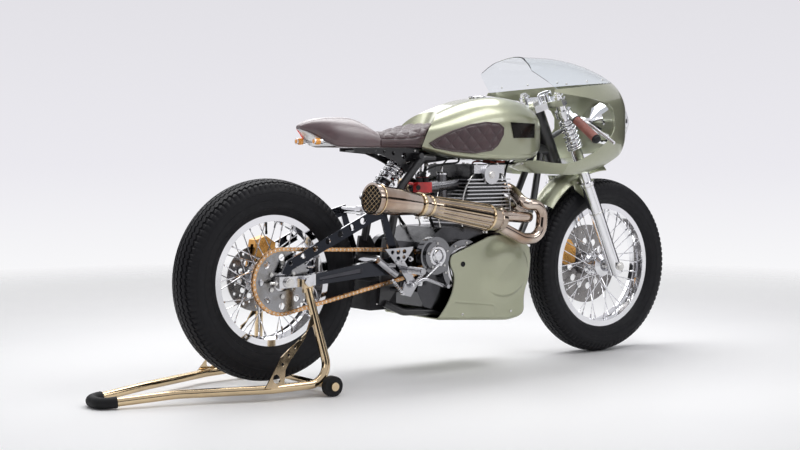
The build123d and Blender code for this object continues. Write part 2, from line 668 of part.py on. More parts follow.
# Exhaust: two pipes loop forward and down, then run back along the right side to a cone
pipe_a = tube([(PORT_X, -PORT_Y, PORT_Z), (985, -100, 648), (972, -186, 597), (1060, -192, 592), (1044, -192, 472),
               (960, -192, 472), (838, -190, 526)], [30, 30, 45, 55, 100], PIPE_R)
pipe_b = tube([(PORT_X, PORT_Y, PORT_Z), (1000, 44, 640), (1046, -60, 566), (1016, -166, 547), (838, -188, 560)],
              [40, 50, 40], PIPE_R)
SHIELD_FRONT = Vector(855, -190, 544)
MUFF_JOINT = Vector(490, -216, 606)
MUFF_END = Vector(262, -232, 632)
shield_way = SHIELD_FRONT - MUFF_JOINT
shield_plane = Plane(origin=MUFF_JOINT, z_dir=shield_way)
muff_way = MUFF_JOINT - MUFF_END
muff_plane = Plane(origin=MUFF_END, z_dir=muff_way)


def turned_on(plane, profile):
    """A round piece about a plane's normal, from a profile of radius and height."""
    face = make_face(Polyline(*[(r, 0, h) for r, h in profile], close=True))
    return plane * revolve(face, axis=Axis.Z)


shield_len = shield_way.length
muff_len = muff_way.length
SHIELD_R = (34.0, 38.0, 46.0)
flute_from = 66.0
flute_to = shield_len - 66.0
heat_shield = turned_on(shield_plane, [
    (0, 0), (SHIELD_R[0], 0), (SHIELD_R[1], 60), (SHIELD_R[2], shield_len - 60), (SHIELD_R[2] - 3, shield_len - 26),
    (SHIELD_R[2] + 1, shield_len - 24), (SHIELD_R[2] + 1, shield_len - 8), (SHIELD_R[2] - 3, shield_len - 6),
    (SHIELD_R[2] - 3, shield_len), (0, shield_len)])
for index in range(FLUTES):
    turn = 2 * math.pi * index / FLUTES
    low_r = SHIELD_R[1] + 1.5
    high_r = SHIELD_R[2] + 1.5
    heat_shield = heat_shield - shield_plane * bar(
        (low_r * math.cos(turn), low_r * math.sin(turn), flute_from),
        (high_r * math.cos(turn), high_r * math.sin(turn), flute_to), 4.5)
save("heat_shield", heat_shield)
save("exhaust_headers", pipe_a - heat_shield - head, pipe_b - heat_shield - head)
muffler = turned_on(muff_plane, [
    (0, 12), (46, 12), (46, 0), (53, 0), (53, 14), (50, 16), (46, 110), (35, muff_len - 14), (39, muff_len - 14),
    (39, muff_len + 4), (0, muff_len + 4)])
save("muffler", muffler - heat_shield)

# Belly pan: a shell open at the top and behind, with a round bulge on each side
PAN = [(589, 200), (633, 251), (660, 302), (669, 354), (646, 394), (646, 422), (737, 454), (833, 489), (900, 490),
       (995, 458), (1030, 427), (1030, 396), (1021, 323), (1009, 297), (999, 272), (997, 230), (1001, 204), (980, 187),
       (918, 177)]
PAN_IN = [(500, 210), (602, 203), (916, 181), (978, 192), (996, 206), (993, 230), (995, 273), (1005, 298), (1017, 324),
          (1026, 396), (1026, 424), (1020, 470), (960, 560), (500, 560)]
pan_outer = side_plate(PAN, PAN_HALF, 2 * PAN_HALF)
pan_inner = side_plate(PAN_IN, PAN_HALF - PAN_T, 2 * (PAN_HALF - PAN_T))
pan = pan_outer - pan_inner
bulge = cross_bar(BULGE_X, BULGE_Z, PAN_HALF - 1, PAN_HALF + 20, BULGE_R)
bulge = bulge - cross_bar(BULGE_X, BULGE_Z, PAN_HALF - 2, PAN_HALF + 16, BULGE_R - PAN_T)
pan = pan - cross_bar(BULGE_X, BULGE_Z, -PAN_HALF - 1, PAN_HALF + 1, BULGE_R - PAN_T)
pan = joined([pan] + both(bulge))
pan = pan - cross_bar(716, 388, -PAN_HALF - 10, PAN_HALF + 10, 8)
for x, z in [(700, 214), (925, 211)]:
    pan = joined([pan] + both(cross_bar(x, z, CRADLE_Y, PAN_HALF - 3, 6)))
save("belly_pan", pan - cradle)

# Rearsets with pegs, pedals, master cylinder and brackets
HEEL = [(359, 458), (478, 462), (470, 446), (426, 396), (410, 400)]
rearset = side_plate(HEEL, 176, 5)
for x, z, radius in [(390, 446, 7), (414, 446, 8), (440, 447, 8), (414, 424, 8), (438, 428, 7)]:
    rearset = rearset - cross_bar(x, z, 168, 178, radius)
rearset = rearset + side_plate([(400, 420), (440, 420), (500, 330), (470, 290), (430, 300), (452, 350)], 171, 8)
rearset = rearset + cross_bar(470, 420, PLATE_Y, 171, 9)
rearset = rearset + cross_bar(456, 312, PLATE_Y, 165, 9)
rearset = rearset + cross_bar(456, 384, 170, 262, 11)
rearset = rearset + bar((345, 155, 420), (420, 155, 368), 13)
rearset = rearset + bar((372, 155, 402), (404, 172, 402), 8)
pedal = tube([(470, 180, 330), (520, 184, 352), (600, 188, 322)], [40], 7) + bar((600, 178, 322), (600, 216, 322), 7)
rearset = rearset + pedal + bar((470, 160, 330), (470, 184, 330), 9)
save("rearsets", *both(rearset))

# Battery tray behind the engine
tray = Pos(428, 0, 290) * Box(112, 2 * (PLATE_Y - PLATE_T), 100)
save("battery_tray", tray - cross_bar(430, 268, -100, 100, 12) - cross_bar(PIVOT_X, PIVOT_Z, -100, 100, 27))

# Side stand, folded up along the left
side_stand = tube([(SIDE_X - 8, SIDE_Y, SIDE_Z), (500, SIDE_Y + 6, 224), (372, SIDE_Y + 20, 248)], [40], 7)
side_stand = side_stand + cross_bar(SIDE_X, SIDE_Z, SIDE_Y - 6, SIDE_Y + 6, 15)
side_stand = side_stand + Pos(366, SIDE_Y + 20, 248) * Box(44, 34, 6)
save("side_stand", side_stand - cross_bar(SIDE_X, SIDE_Z, SIDE_Y - 28, SIDE_Y + 22, SIDE_PIN_R + AXLE_PLAY))

# Fork: legs, yokes, springs, bars, fender and brake
leg = bar(leg_point(-30, LEG_Y), leg_point(SLIDER_TOP, LEG_Y), SLIDER_R)
leg = leg + bar(leg_point(SLIDER_TOP, LEG_Y), leg_point(SLIDER_TOP + 12, LEG_Y), SLIDER_R + 3)
leg = leg + bar(leg_point(SLIDER_TOP, LEG_Y), leg_point(FORK_TOP_S, LEG_Y), STANCHION_R)
leg = leg + bar(leg_point(FORK_TOP_S, LEG_Y), leg_point(FORK_TOP_S + 8, LEG_Y), STANCHION_R - 5)
leg = leg - cross_bar(WHEELBASE, FRONT_Z, LEG_Y - 40, LEG_Y + 40, AXLE_R)
save("fork_legs", *both(leg))
save("front_axle", joined([
    cross_bar(WHEELBASE, FRONT_Z, -LEG_Y - 30, LEG_Y + 30, AXLE_R),
    cross_bar(WHEELBASE, FRONT_Z, -LEG_Y - 36, -LEG_Y - 30, 16),
    cross_bar(WHEELBASE, FRONT_Z, LEG_Y + 30, LEG_Y + 36, 16),
    cross_bar(WHEELBASE, FRONT_Z, -LEG_Y + 26, -57, 14),
    cross_bar(WHEELBASE, FRONT_Z, 64, LEG_Y - 26, 14)]) - cross_bar(WHEELBASE, FRONT_Z, -200, 200, 5))

YOKE = [
    # half the yoke's outline, across and ahead of the legs
    (0, 26), (LEG_Y + 8, 26), (LEG_Y + 26, 8), (LEG_Y + 26, -14), (60, -34), (34, -LEG_OFFSET - 30),
    (0, -LEG_OFFSET - 30),
]
yokes = []
for s in (LOWER_YOKE_S, UPPER_YOKE_S):
    outline = make_face(Polyline(*[(across, -ahead) for across, ahead in YOKE],
                                 *[(-across, -ahead) for across, ahead in reversed(YOKE[1:-1])], close=True))
    plate = extrude(fork_plane(s) * outline, YOKE_T)
    for side in (-1, 1):
        plate = plate - bar(leg_point(s - 5, side * LEG_Y), leg_point(s + YOKE_T + 5, side * LEG_Y), STANCHION_R)
    yokes.append(plate)
stem = bar(leg_point(LOWER_YOKE_S, 0, -LEG_OFFSET), leg_point(UPPER_YOKE_S + YOKE_T + 10, 0, -LEG_OFFSET), STEM_R)
save("fork_yokes", joined([yokes[0], stem, yokes[1]]))

springs = []
for side in (-1, 1):
    springs.append(Plane(origin=leg_point(SPRING_LOW_S, side * LEG_Y), z_dir=FORK_PLANE_Z)
                   * coil(STANCHION_R, STANCHION_R + 11, UPPER_YOKE_S - SPRING_LOW_S - 58, 9))
save("fork_springs", *springs)

grip_way = (Vector(*GRIP_OUT) - Vector(*GRIP_IN)).normalized()
clamp_s = UPPER_YOKE_S - 46
clamp = bar(leg_point(clamp_s, LEG_Y), leg_point(clamp_s + 26, LEG_Y), 31)
clamp = clamp - bar(leg_point(clamp_s - 5, LEG_Y), leg_point(clamp_s + 40, LEG_Y), STANCHION_R)
bar_in = Vector(*GRIP_IN) - grip_way * 58
handlebar = bar(tuple(bar_in), GRIP_OUT, BAR_R)
clip_on = clamp + (handlebar - bar(leg_point(clamp_s - 60, LEG_Y), leg_point(clamp_s + 60, LEG_Y), STANCHION_R))
perch = Vector(*GRIP_IN) - grip_way * 14
clip_on = clip_on + bar(tuple(perch - grip_way * 9), tuple(perch + grip_way * 9), 17)
lever = tube([tuple(perch), (1300, 178, 892), (1322, 290, 818)], [24], 6)
clip_on = clip_on + lever + bar((1290, 150, 905), (1290, 176, 900), 13)
save("clip_ons", *both(clip_on))
grip = bar(GRIP_IN, GRIP_OUT, 17) - handlebar
end = bar(GRIP_OUT, tuple(Vector(*GRIP_OUT) + grip_way * 10), 15)
save("grips", *both(grip + end - clip_on))

# Instruments on the upper yoke
gauge_plane = fork_plane(UPPER_YOKE_S + YOKE_T, 0, 20)
save("instruments", gauge_plane * (Pos(0, 0, 7) * Cylinder(26, 14)))

# Front fender on brackets from the sliders
edge_r = FENDER_R - FENDER_DROP
crown_r = FENDER_R + FENDER_CROWN
arc_face = make_face([
    ThreePointArc((edge_r, -FENDER_HALF), (crown_r, 0), (edge_r, FENDER_HALF)),
    Line((edge_r, FENDER_HALF), (edge_r - FENDER_T, FENDER_HALF)),
    ThreePointArc((edge_r - FENDER_T, FENDER_HALF), (crown_r - FENDER_T, 0), (edge_r - FENDER_T, -FENDER_HALF)),
    Line((edge_r - FENDER_T, -FENDER_HALF), (edge_r, -FENDER_HALF)),
])
fender = Rot(0, -142, 0) * revolve(arc_face, axis=Axis.Y, revolution_arc=50)
fender = Pos(WHEELBASE, 0, FRONT_Z) * fender
bracket = side_plate([(1402, 600), (1374, 664), (1362, 690), (1324, 674), (1338, 640)], 71, 7)
bracket = bracket + side_plate([(1370, 672), (1362, 692), (1320, 674), (1332, 654)], 66, 6) - leg
fender = joined([fender] + both(bracket))
save("front_fender", fender)

# Front brake caliper on the left leg
caliper = side_plate([(1360, 362), (1350, 416), (1378, 450), (1424, 440), (1450, 404), (1448, 352), (1400, 340)], 86, 40)
caliper = caliper - cross_bar(WHEELBASE, FRONT_Z, 53, 68, 160)
caliper = caliper + bar((1440, 80, 372), (1494, 80, 380), 8)
save("front_caliper", caliper - leg)

# Stand: one bent tube, a cross tube, horned gussets and hooks under the swingarm spools
HOOK = (SPOOL_X, 152.0, REAR_Z - SPOOL_R - 12)
right_side = [(HOOK[0], -HOOK[1], HOOK[2]), (102, -STAND_HALF, 40), (-110, -212, 35),
              (RAIL_KINK[0], -RAIL_KINK[1], RAIL_KINK[2]),
              (HANDLE_X, -HANDLE_HALF, GRIP_R)]
left_side = [(x, -y, z) for x, y, z in reversed(right_side)]
stand = tube(right_side + left_side, [70, 160, 160, 44, 44, 160, 160, 70], STAND_TUBE_R)
stand = stand + cross_bar(108, 24, -STAND_HALF + 4, STAND_HALF - 4, 10)
stand = stand + cross_bar(84, 42, STAND_HALF - 12, STAND_HALF + 12, 8)
pin = cross_bar(ROLLER_X, ROLLER_R, STAND_HALF - 20, STAND_HALF + STAND_TUBE_R + 8 + ROLLER_T, ROLLER_PIN_R)
pin = pin + bar((60, STAND_HALF - 14, 46), (108, STAND_HALF - 14, 24), 12)
pin = pin + cross_bar(ROLLER_X, ROLLER_R, STAND_HALF + STAND_TUBE_R + 6 + ROLLER_T,
                      STAND_HALF + STAND_TUBE_R + 12 + ROLLER_T, 14)
hook = Pos(*HOOK) * Box(34, 14, 24)
hook = hook + Pos(HOOK[0] - 14, HOOK[1], HOOK[2] + 18) * Box(7, 14, 26)
hook = hook + Pos(HOOK[0] + 14, HOOK[1], HOOK[2] + 18) * Box(7, 14, 26)
GUSSET_LOW = 42.0
GUSSET = [(-142, GUSSET_LOW), (-100, 96), (-72, 134), (-35, 161), (-1, 182), (33, 206), (51, 242), (66, 268),
          (78, 240), (41, 216), (25, 190), (-5, 156), (-40, 122), (-61, 93), (-72, GUSSET_LOW)]
GUSSET_HOLES = [
    # x, z, radius
    (-96, 68, 14.0), (-68, 111, 6.5), (-42, 138, 5.5), (-16, 161, 5.0), (9, 184, 4.5), (33, 209, 4.0),
]
gusset = make_face(Polyline(*[(x, z - GUSSET_LOW) for x, z in GUSSET], close=True))
gusset = extrude(Plane(origin=(0, 225, GUSSET_LOW), x_dir=(1, 0, 0), z_dir=(0, -0.98, -0.19)) * gusset, 6)
for x, z, radius in GUSSET_HOLES:
    gusset = gusset - cross_bar(x, z, 150, 250, radius)
for item in both(pin) + both(hook) + both(gusset):
    stand = stand + item
save("stand_frame", stand)

rail_bend = Vector(*RAIL_KINK)
handle_end = Vector(HANDLE_X, HANDLE_HALF, GRIP_R)
grip_from = rail_bend + (handle_end - rail_bend) * GRIP_SHARE
grip_path = [(grip_from.X, -grip_from.Y, grip_from.Z), (HANDLE_X, -HANDLE_HALF, GRIP_R),
             (HANDLE_X, HANDLE_HALF, GRIP_R), (grip_from.X, grip_from.Y, grip_from.Z)]
stand_grip = tube(grip_path, [44, 44], GRIP_R) - stand
save("stand_grip", stand_grip)
roller_in = STAND_HALF + STAND_TUBE_R + 4
rollers = []
for side in (-1, 1):
    rollers.append(cross_bar(ROLLER_X, ROLLER_R, side * roller_in, side * (roller_in + ROLLER_T), ROLLER_R)
                   - cross_bar(ROLLER_X, ROLLER_R, side * (roller_in - 5), side * (roller_in + ROLLER_T + 5),
                               ROLLER_PIN_R + AXLE_PLAY))
save("stand_rollers", *rollers)


# Fairing and screen share one curved skin
def skin(inset):
    """The full outline, drawn in by inset."""
    half = FAIR_HALF - inset
    nose = NOSE_R - inset
    ball_x = NOSE_X - NOSE_R
    big = ((ball_x - FAIR_SHOULDER_X) ** 2 + half ** 2 - nose ** 2) / (2 * (half - nose))
    reach = math.hypot(ball_x - FAIR_SHOULDER_X, big - half)
    meet = (FAIR_SHOULDER_X + big * (ball_x - FAIR_SHOULDER_X) / reach, half - big + big * (big - half) / reach)
    turn = math.atan2(meet[1], meet[0] - ball_x) / 2
    mid_turn = math.atan2(meet[1] - (half - big), meet[0] - FAIR_SHOULDER_X)
    mid_turn = (mid_turn + math.pi / 2) / 2
    faces = []
    for back_x, back_half in ((FAIR_BACK_X, half), (ARM_BACK_X, ARM_BACK_R - inset)):
        faces.append(make_face([
            Polyline((ball_x + nose, 0), (back_x, 0), (back_x, back_half), (FAIR_SHOULDER_X, half)),
            ThreePointArc((FAIR_SHOULDER_X, half),
                          (FAIR_SHOULDER_X + big * math.cos(mid_turn), half - big + big * math.sin(mid_turn)), meet),
            ThreePointArc(meet, (ball_x + nose * math.cos(turn), nose * math.sin(turn)), (ball_x + nose, 0)),
        ]))
    high, low = faces
    belt = extrude(high + mirror(high, about=Plane.XZ), FAIR_HIGH_Z - FAIR_LOW_Z)
    upper_ball = Pos(0, 0, FAIR_HIGH_Z) * revolve(high, axis=Axis.X)
    return upper_ball + Pos(0, 0, FAIR_LOW_Z) * revolve(low, axis=Axis.X) + Pos(0, 0, FAIR_LOW_Z) * belt


outside = skin(0)
SCREEN_EDGE = [(1600, 1062), (1400, 1043), (1128, 1015), (1042, 1082), (1062, 1122), (1132, 1170), (1132, 1300),
               (1600, 1300)]
screen_zone = side_plate(SCREEN_EDGE, 400, 800)
save("windscreen", (outside - skin(SCREEN_T)) & screen_zone)
fairing = outside - skin(FAIR_T)
TOP_CUT = [(800, 1300), (800, 1000), (1111, 1000), (1118, 1015), (1128, 1015), (1400, 1043), (1600, 1062),
           (1600, 1300)]
HAND_CUT = [(800, 1003), (1120, 1003), (1285, 986), (1403, 968), (1432, 948), (1446, 921), (1446, 880), (1430, 856),
            (1389, 822), (1330, 788), (1289, 770), (1242, 751), (1188, 742), (1142, 746), (1096, 754), (1054, 754),
            (1029, 749), (1023, 739), (800, 739)]
LOW_CUT = [(800, 742), (1018, 742), (1026, 734), (1072, 715), (1121, 706), (1238, 699), (1345, 707), (1428, 731),
           (1530, 776), (1700, 800), (1700, 500), (800, 500)]
for cut in (TOP_CUT, HAND_CUT, LOW_CUT):
    fairing = fairing - side_plate(cut, 400, 800)
fairing = fairing - bar((1540, 0, LAMP_Z), (1700, 0, LAMP_Z), LAMP_R + 2)
fairing = fairing - Pos(FAIR_BACK_X, 0, 900) * Box(12, 600, 600)
save("fairing", fairing - cross_bar(ARM_PIN_X, ARM_PIN_Z, -60, 60, ARM_PIN_R))

lamp_in = LAMP_R - 3
lamp_out = LAMP_R + 2
bowl = turned_x([(1474, 0), (1474, 20), (1492, 60), (1520, 80), (1550, LAMP_R), (1558, lamp_out), (1601, lamp_out),
                 (1601, lamp_in), (1578, lamp_in), (1550, 78), (1522, 72), (1496, 52), (1482, 0)], 0, LAMP_Z)
save("headlamp", bowl - bar(leg_point(560, 0, 70), (LAMP_STAY_X, 0, LAMP_Z), 10))
save("headlamp_lens", turned_x([(1586, 0), (1586, lamp_in), (1593, lamp_in), (1602, 62), (1608, 32), (1610, 0)],
                               0, LAMP_Z))
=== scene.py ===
import math

import bmesh
import bpy
import numpy as np
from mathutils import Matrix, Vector
from mathutils.bvhtree import BVHTree


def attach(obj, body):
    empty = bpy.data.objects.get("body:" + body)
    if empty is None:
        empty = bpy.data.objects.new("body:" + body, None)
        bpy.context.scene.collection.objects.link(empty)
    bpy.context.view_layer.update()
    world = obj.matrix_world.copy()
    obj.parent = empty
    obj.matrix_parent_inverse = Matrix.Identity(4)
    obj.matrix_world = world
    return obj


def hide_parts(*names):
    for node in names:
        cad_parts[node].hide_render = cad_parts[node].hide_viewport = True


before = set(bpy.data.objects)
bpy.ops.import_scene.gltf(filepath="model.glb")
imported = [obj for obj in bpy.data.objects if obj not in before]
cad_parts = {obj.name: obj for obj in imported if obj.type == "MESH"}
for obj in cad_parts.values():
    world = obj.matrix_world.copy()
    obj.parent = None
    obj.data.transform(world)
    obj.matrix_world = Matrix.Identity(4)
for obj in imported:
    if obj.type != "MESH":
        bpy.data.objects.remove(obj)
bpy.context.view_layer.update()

# Sizes are in millimetres from the rear axle, as in the part's source. The row frame is in metres.
MM = 0.001
X_MID = 614.0
SIDES = (-1, 1)

# Wheels, fork, chain, grips, seat and lamp, as in the part's source
REAR_Z = 362.0
WHEELBASE = 1521.0
FRONT_Z = 341.0
RAKE = math.radians(24.7)
LEG_Y = 95.0
LEG_OFFSET = 45.0
SPRING_LOW_S = 500.0
UPPER_YOKE_S = 684.0
YOKE_T = 26.0
SPOKE_COUNT = 36
CHAIN_Y = -95.0
GRIP_IN = (1250.0, 165.0, 904.0)
GRIP_OUT = (1238.0, 280.0, 834.0)
SEAT_BASE_Z = 800.0
LAMP_Z = 900.0

FORK_WAY = Vector((-math.sin(RAKE), 0, math.cos(RAKE)))
AHEAD_WAY = Vector((math.cos(RAKE), 0, math.sin(RAKE)))

scene = bpy.context.scene


def at(x, y, z):
    """A place on the drawing as a place in the row frame."""
    return Vector(((x - X_MID) * MM, y * MM, z * MM))


def leg_point(s, y=0.0, ahead=0.0):
    """A place along the fork legs, s up from the axle, and ahead of them."""
    x = WHEELBASE - s * math.sin(RAKE) + ahead * math.cos(RAKE)
    z = FRONT_Z + s * math.cos(RAKE) + ahead * math.sin(RAKE)
    return at(x, y, z)


def on_circle(x, z, radius, turn, y):
    """A place on a circle in the side view."""
    return at(x + radius * math.cos(turn), y, z + radius * math.sin(turn))


def turns(count, phase=0.0):
    """Evenly spaced angles of a full turn."""
    return [2 * math.pi * (index + phase) / count for index in range(count)]


# Materials
class Nodes:
    """A node tree that grows by one node at a time."""

    def __init__(self, tree):
        self.nodes = tree.nodes
        self.links = tree.links

    def put(self, value, socket):
        if isinstance(value, bpy.types.NodeSocket):
            self.links.new(value, socket)
        else:
            socket.default_value = value

    def add(self, kind, inputs, output=0, **settings):
        """One output of a new node, whose inputs are set or linked."""
        node = self.nodes.new("ShaderNode" + kind)
        for name, value in settings.items():
            setattr(node, name, value)
        for name, value in inputs.items():
            self.put(value, node.inputs[name])
        return node.outputs[output]

    def calc(self, operation, first, second=0.0):
        return self.add("Math", {0: first, 1: second}, operation=operation)

    def mixed(self, share, first, second):
        return self.add("Mix", {0: share, 6: first, 7: second}, 2, data_type="RGBA")

    def spread(self, value, low, high, to_low=0.0, to_high=1.0):
        inputs = {"Value": value, "From Min": low, "From Max": high, "To Min": to_low, "To Max": to_high}
        return self.add("MapRange", inputs, "Result")


class Look(Nodes):
    """A surface finish: colour, gloss and relief from procedural nodes."""

    def __init__(self, name, colour, rough, metal=0.0, coat=0.0, coat_rough=0.04, sheen=0.0):
        self.material = bpy.data.materials.new(name)
        self.material.use_nodes = True
        super().__init__(self.material.node_tree)
        self.shader = self.nodes["Principled BSDF"]
        self.colour = (*colour, 1.0)
        self.rough = rough
        self.normal = None
        self.shade({"Base Color": self.colour, "Roughness": rough, "Metallic": metal, "Coat Weight": coat,
                    "Coat Roughness": coat_rough, "Sheen Weight": sheen})
        self.place = self.add("TexCoord", {}, "Object")

    def shade(self, values):
        """Sets or links sockets of the shader."""
        for name, value in values.items():
            self.put(value, self.shader.inputs[name])
        return self

    def noise(self, scale, detail=3.0, stretch=None):
        """Noise, stretched along some axes for streaks."""
        place = self.place
        if stretch is not None:
            place = self.add("Mapping", {"Vector": place, "Scale": stretch}, "Vector")
        return self.add("TexNoise", {"Vector": place, "Scale": scale, "Detail": detail}, "Fac")

    def cells(self, scale):
        inputs = {"Vector": self.place, "Scale": scale}
        return self.add("TexVoronoi", inputs, "Distance", feature="DISTANCE_TO_EDGE")

    def paint(self, colour, share):
        """Another colour where share is 1."""
        self.colour = self.mixed(share, self.colour, (*colour, 1.0))
        return self.shade({"Base Color": self.colour})

    def tint(self, colour, scale, low=0.4, high=0.65):
        """Patches of a second colour."""
        return self.paint(colour, self.spread(self.noise(scale), low, high))

    def painted_fold_shade(self, colour, low, high):
        """Another colour by the mesh's pointiness: with low above high, painted shade in the folds and
        hollows.
        """
        pointed = self.add("NewGeometry", {}, "Pointiness")
        return self.paint(colour, self.spread(pointed, low, high))

    def smears(self, amount, scale, stretch=None):
        """Gloss that varies over the surface."""
        noise = self.noise(scale, stretch=stretch)
        value = self.spread(noise, 0.3, 0.7, self.rough - amount, self.rough + amount)
        return self.shade({"Roughness": value})

    def relief(self, height, depth, strength=1.0):
        """Raised and sunk places."""
        inputs = {"Distance": depth * MM, "Strength": strength, "Height": height}
        if self.normal is not None:
            inputs["Normal"] = self.normal
        self.normal = self.add("Bump", inputs, "Normal")
        return self.shade({"Normal": self.normal})

    def rounded(self, radius):
        """Softened edges that catch the light."""
        self.normal = self.add("Bevel", {"Radius": radius * MM}, "Normal", samples=4)
        return self.shade({"Normal": self.normal})

    def axis(self, name):
        return self.add("SeparateXYZ", {0: self.place}, name)

    def rings(self, x, z, depth, step=0.4):
        """Fine turned or ground circles about an axle."""
        across = self.calc("SUBTRACT", self.axis("X"), (x - X_MID) * MM)
        up = self.calc("SUBTRACT", self.axis("Z"), z * MM)
        square = self.calc("ADD", self.calc("MULTIPLY", across, across), self.calc("MULTIPLY", up, up))
        inputs = {"W": self.calc("SQRT", square), "Scale": 1.0 / (step * MM), "Detail": 1.0}
        return self.relief(self.add("TexNoise", inputs, "Fac", noise_dimensions="1D"), depth)

    def side_face(self):
        """1 on faces that look to the left or right, else 0."""
        normal = self.add("NewGeometry", {}, "True Normal")
        turned = self.add("VectorTransform", {0: normal}, vector_type="NORMAL", convert_from="WORLD",
                          convert_to="OBJECT")
        aside = self.add("SeparateXYZ", {0: turned}, "Y")
        return self.calc("GREATER_THAN", self.calc("ABSOLUTE", aside), 0.8)


def metal(name, colour, rough, dark=0.7, streak=None):
    """A plated or polished metal with faint streaks, smears and soft edges."""
    look = Look(name, colour, rough, metal=1.0)
    look.rounded(0.6)
    look.tint(tuple(c * dark for c in colour), 14.0, 0.5, 0.95)
    look.smears(min(rough * 0.6, 0.06), 30.0, streak)
    look.relief(look.noise(1500.0, 2.0, streak), 0.02, 0.5)
    return look


def painted(name, colour, second, rough, metal_share, coat, flake=True):
    """Lacquered paint with fine flakes and a slight orange peel."""
    look = Look(name, colour, rough, metal=metal_share, coat=coat)
    look.tint(second, 5.0, 0.35, 0.75)
    if flake:
        look.tint(tuple(min(1.0, c * 1.5) for c in colour), 1800.0, 0.58, 0.75)
    look.smears(0.04, 9.0)
    look.relief(look.noise(220.0, 2.0), 0.02, 0.6)
    return look


def leather(name, colour, second, rough, grain=650.0):
    """Hide with creases round small cells and patches of a second colour."""
    look = Look(name, colour, rough, coat=0.35, coat_rough=0.3, sheen=0.05)
    look.tint(second, 26.0, 0.35, 0.75)
    look.smears(0.07, 40.0)
    look.relief(look.spread(look.cells(grain), 0.0, 0.12), 0.16, 0.7)
    look.relief(look.noise(90.0, 4.0), 0.25, 0.5)
    return look


def rubber(name, colour, rough, scale=900.0):
    """A matt surface with fine pores."""
    look = Look(name, colour, rough)
    look.shade({"Specular IOR Level": 0.25})
    look.tint(tuple(c * 1.5 + 0.003 for c in colour), 35.0, 0.5, 0.9)
    look.smears(0.08, 60.0)
    look.relief(look.noise(scale), 0.12, 0.7)
    return look


def moulding(name, colour, second, coat, patches, grain, depth):
    """Glossy moulded plastic."""
    look = Look(name, colour, 0.3, coat=coat)
    look.tint(second, patches)
    return look.relief(look.noise(grain), depth)


green = painted("sage_paint", (0.40, 0.41, 0.29), (0.33, 0.345, 0.235), 0.33, 0.72, 1.0)
black_paint = painted("black_enamel", (0.018, 0.018, 0.02), (0.03, 0.03, 0.033), 0.32, 0.0, 0.4, flake=False)
polished = metal("polished_alloy", (0.76, 0.76, 0.78), 0.16, 0.6)
chrome = metal("bright_chrome", (0.82, 0.82, 0.84), 0.06, 0.85)
gold = metal("pale_gold_plate", (0.74, 0.58, 0.37), 0.1, 0.75)
# Painted reflection: broad dark-brown patches on the warm nickel stand in for the dark reflections along the
# pipes.
exhaust = metal("warm_nickel", (0.6, 0.51, 0.44), 0.09, 0.6).tint((0.3, 0.18, 0.11), 6.0, 0.45, 0.72)
shield_look = metal("warm_shield", (0.46, 0.38, 0.31), 0.08, 0.5, (40.0, 1.0, 1.0))
dark_metal = metal("dark_steel", (0.09, 0.09, 0.1), 0.35, 0.6)
foot_alloy = metal("foot_control_alloy", (0.48, 0.48, 0.5), 0.1, 0.3)
cast = metal("cast_alloy", (0.17, 0.17, 0.18), 0.28, 0.45)
cast.relief(cast.noise(700.0), 0.25, 0.8)
# Painted reflection: the buffed cases get a near-black colour, standing in for the dark surroundings they
# reflect.
case_painted_reflection = metal("buffed_case_painted_reflection", (0.075, 0.075, 0.08), 0.2, 0.4)
cover_alloy = metal("polished_cover", (0.2, 0.2, 0.21), 0.08, 0.5)
steel_bolt = metal("plated_bolt", (0.72, 0.71, 0.69), 0.2, 0.6)
chain_metal = metal("copper_chain", (0.72, 0.42, 0.2), 0.27, 0.45)
caliper_gold = metal("gold_anodised", (0.85, 0.45, 0.13), 0.3, 0.75)
tyre_rubber = rubber("tyre_rubber", (0.006, 0.006, 0.008), 0.52)
soft_rubber = rubber("black_rubber", (0.009, 0.009, 0.01), 0.6)
lead_rubber = rubber("brown_rubber", (0.3, 0.05, 0.025), 0.5)
plastic = rubber("dark_plastic", (0.012, 0.012, 0.014), 0.5, 400.0)
thread = rubber("waxed_thread", (0.16, 0.08, 0.08), 0.7, 2500.0)
hide = leather("aubergine_hide", (0.085, 0.032, 0.038), (0.06, 0.022, 0.028), 0.36)
hide.shade({"Specular IOR Level": 1.0, "Coat Weight": 1.0})
quilt_hide = leather("quilted_hide", (0.055, 0.022, 0.026), (0.038, 0.015, 0.019), 0.4)
# Painted shade: near black in the folds and hollows of the quilted hide.
quilt_hide.painted_fold_shade((0.012, 0.005, 0.006), 0.49, 0.44)
grip_hide = leather("red_grip_hide", (0.33, 0.1, 0.07), (0.22, 0.06, 0.045), 0.5, 900.0)
red_gloss = moulding("red_moulding", (0.62, 0.02, 0.02), (0.42, 0.012, 0.012), 0.5, 20.0, 500.0, 0.05)
white_gloss = moulding("white_moulding", (0.8, 0.8, 0.8), (0.7, 0.7, 0.71), 0.4, 15.0, 400.0, 0.03)
dial_face = Look("dial_face", (0.02, 0.02, 0.022), 0.4).tint((0.035, 0.035, 0.04), 80.0)

disc_looks = {}
for name, x, z in (("rear", 0.0, REAR_Z), ("front", WHEELBASE, FRONT_Z)):
    look = Look(f"{name}_disc_steel", (0.27, 0.26, 0.255), 0.18, metal=1.0)
    disc_looks[name] = look.tint((0.2, 0.19, 0.185), 30.0, 0.5, 0.9).rings(x, z, 0.04)
sprocket_look = Look("sprocket_alloy", (0.33, 0.33, 0.34), 0.16, metal=1.0)
sprocket_look.tint((0.2, 0.18, 0.15), 25.0, 0.45, 0.8).rings(0.0, REAR_Z, 0.03)

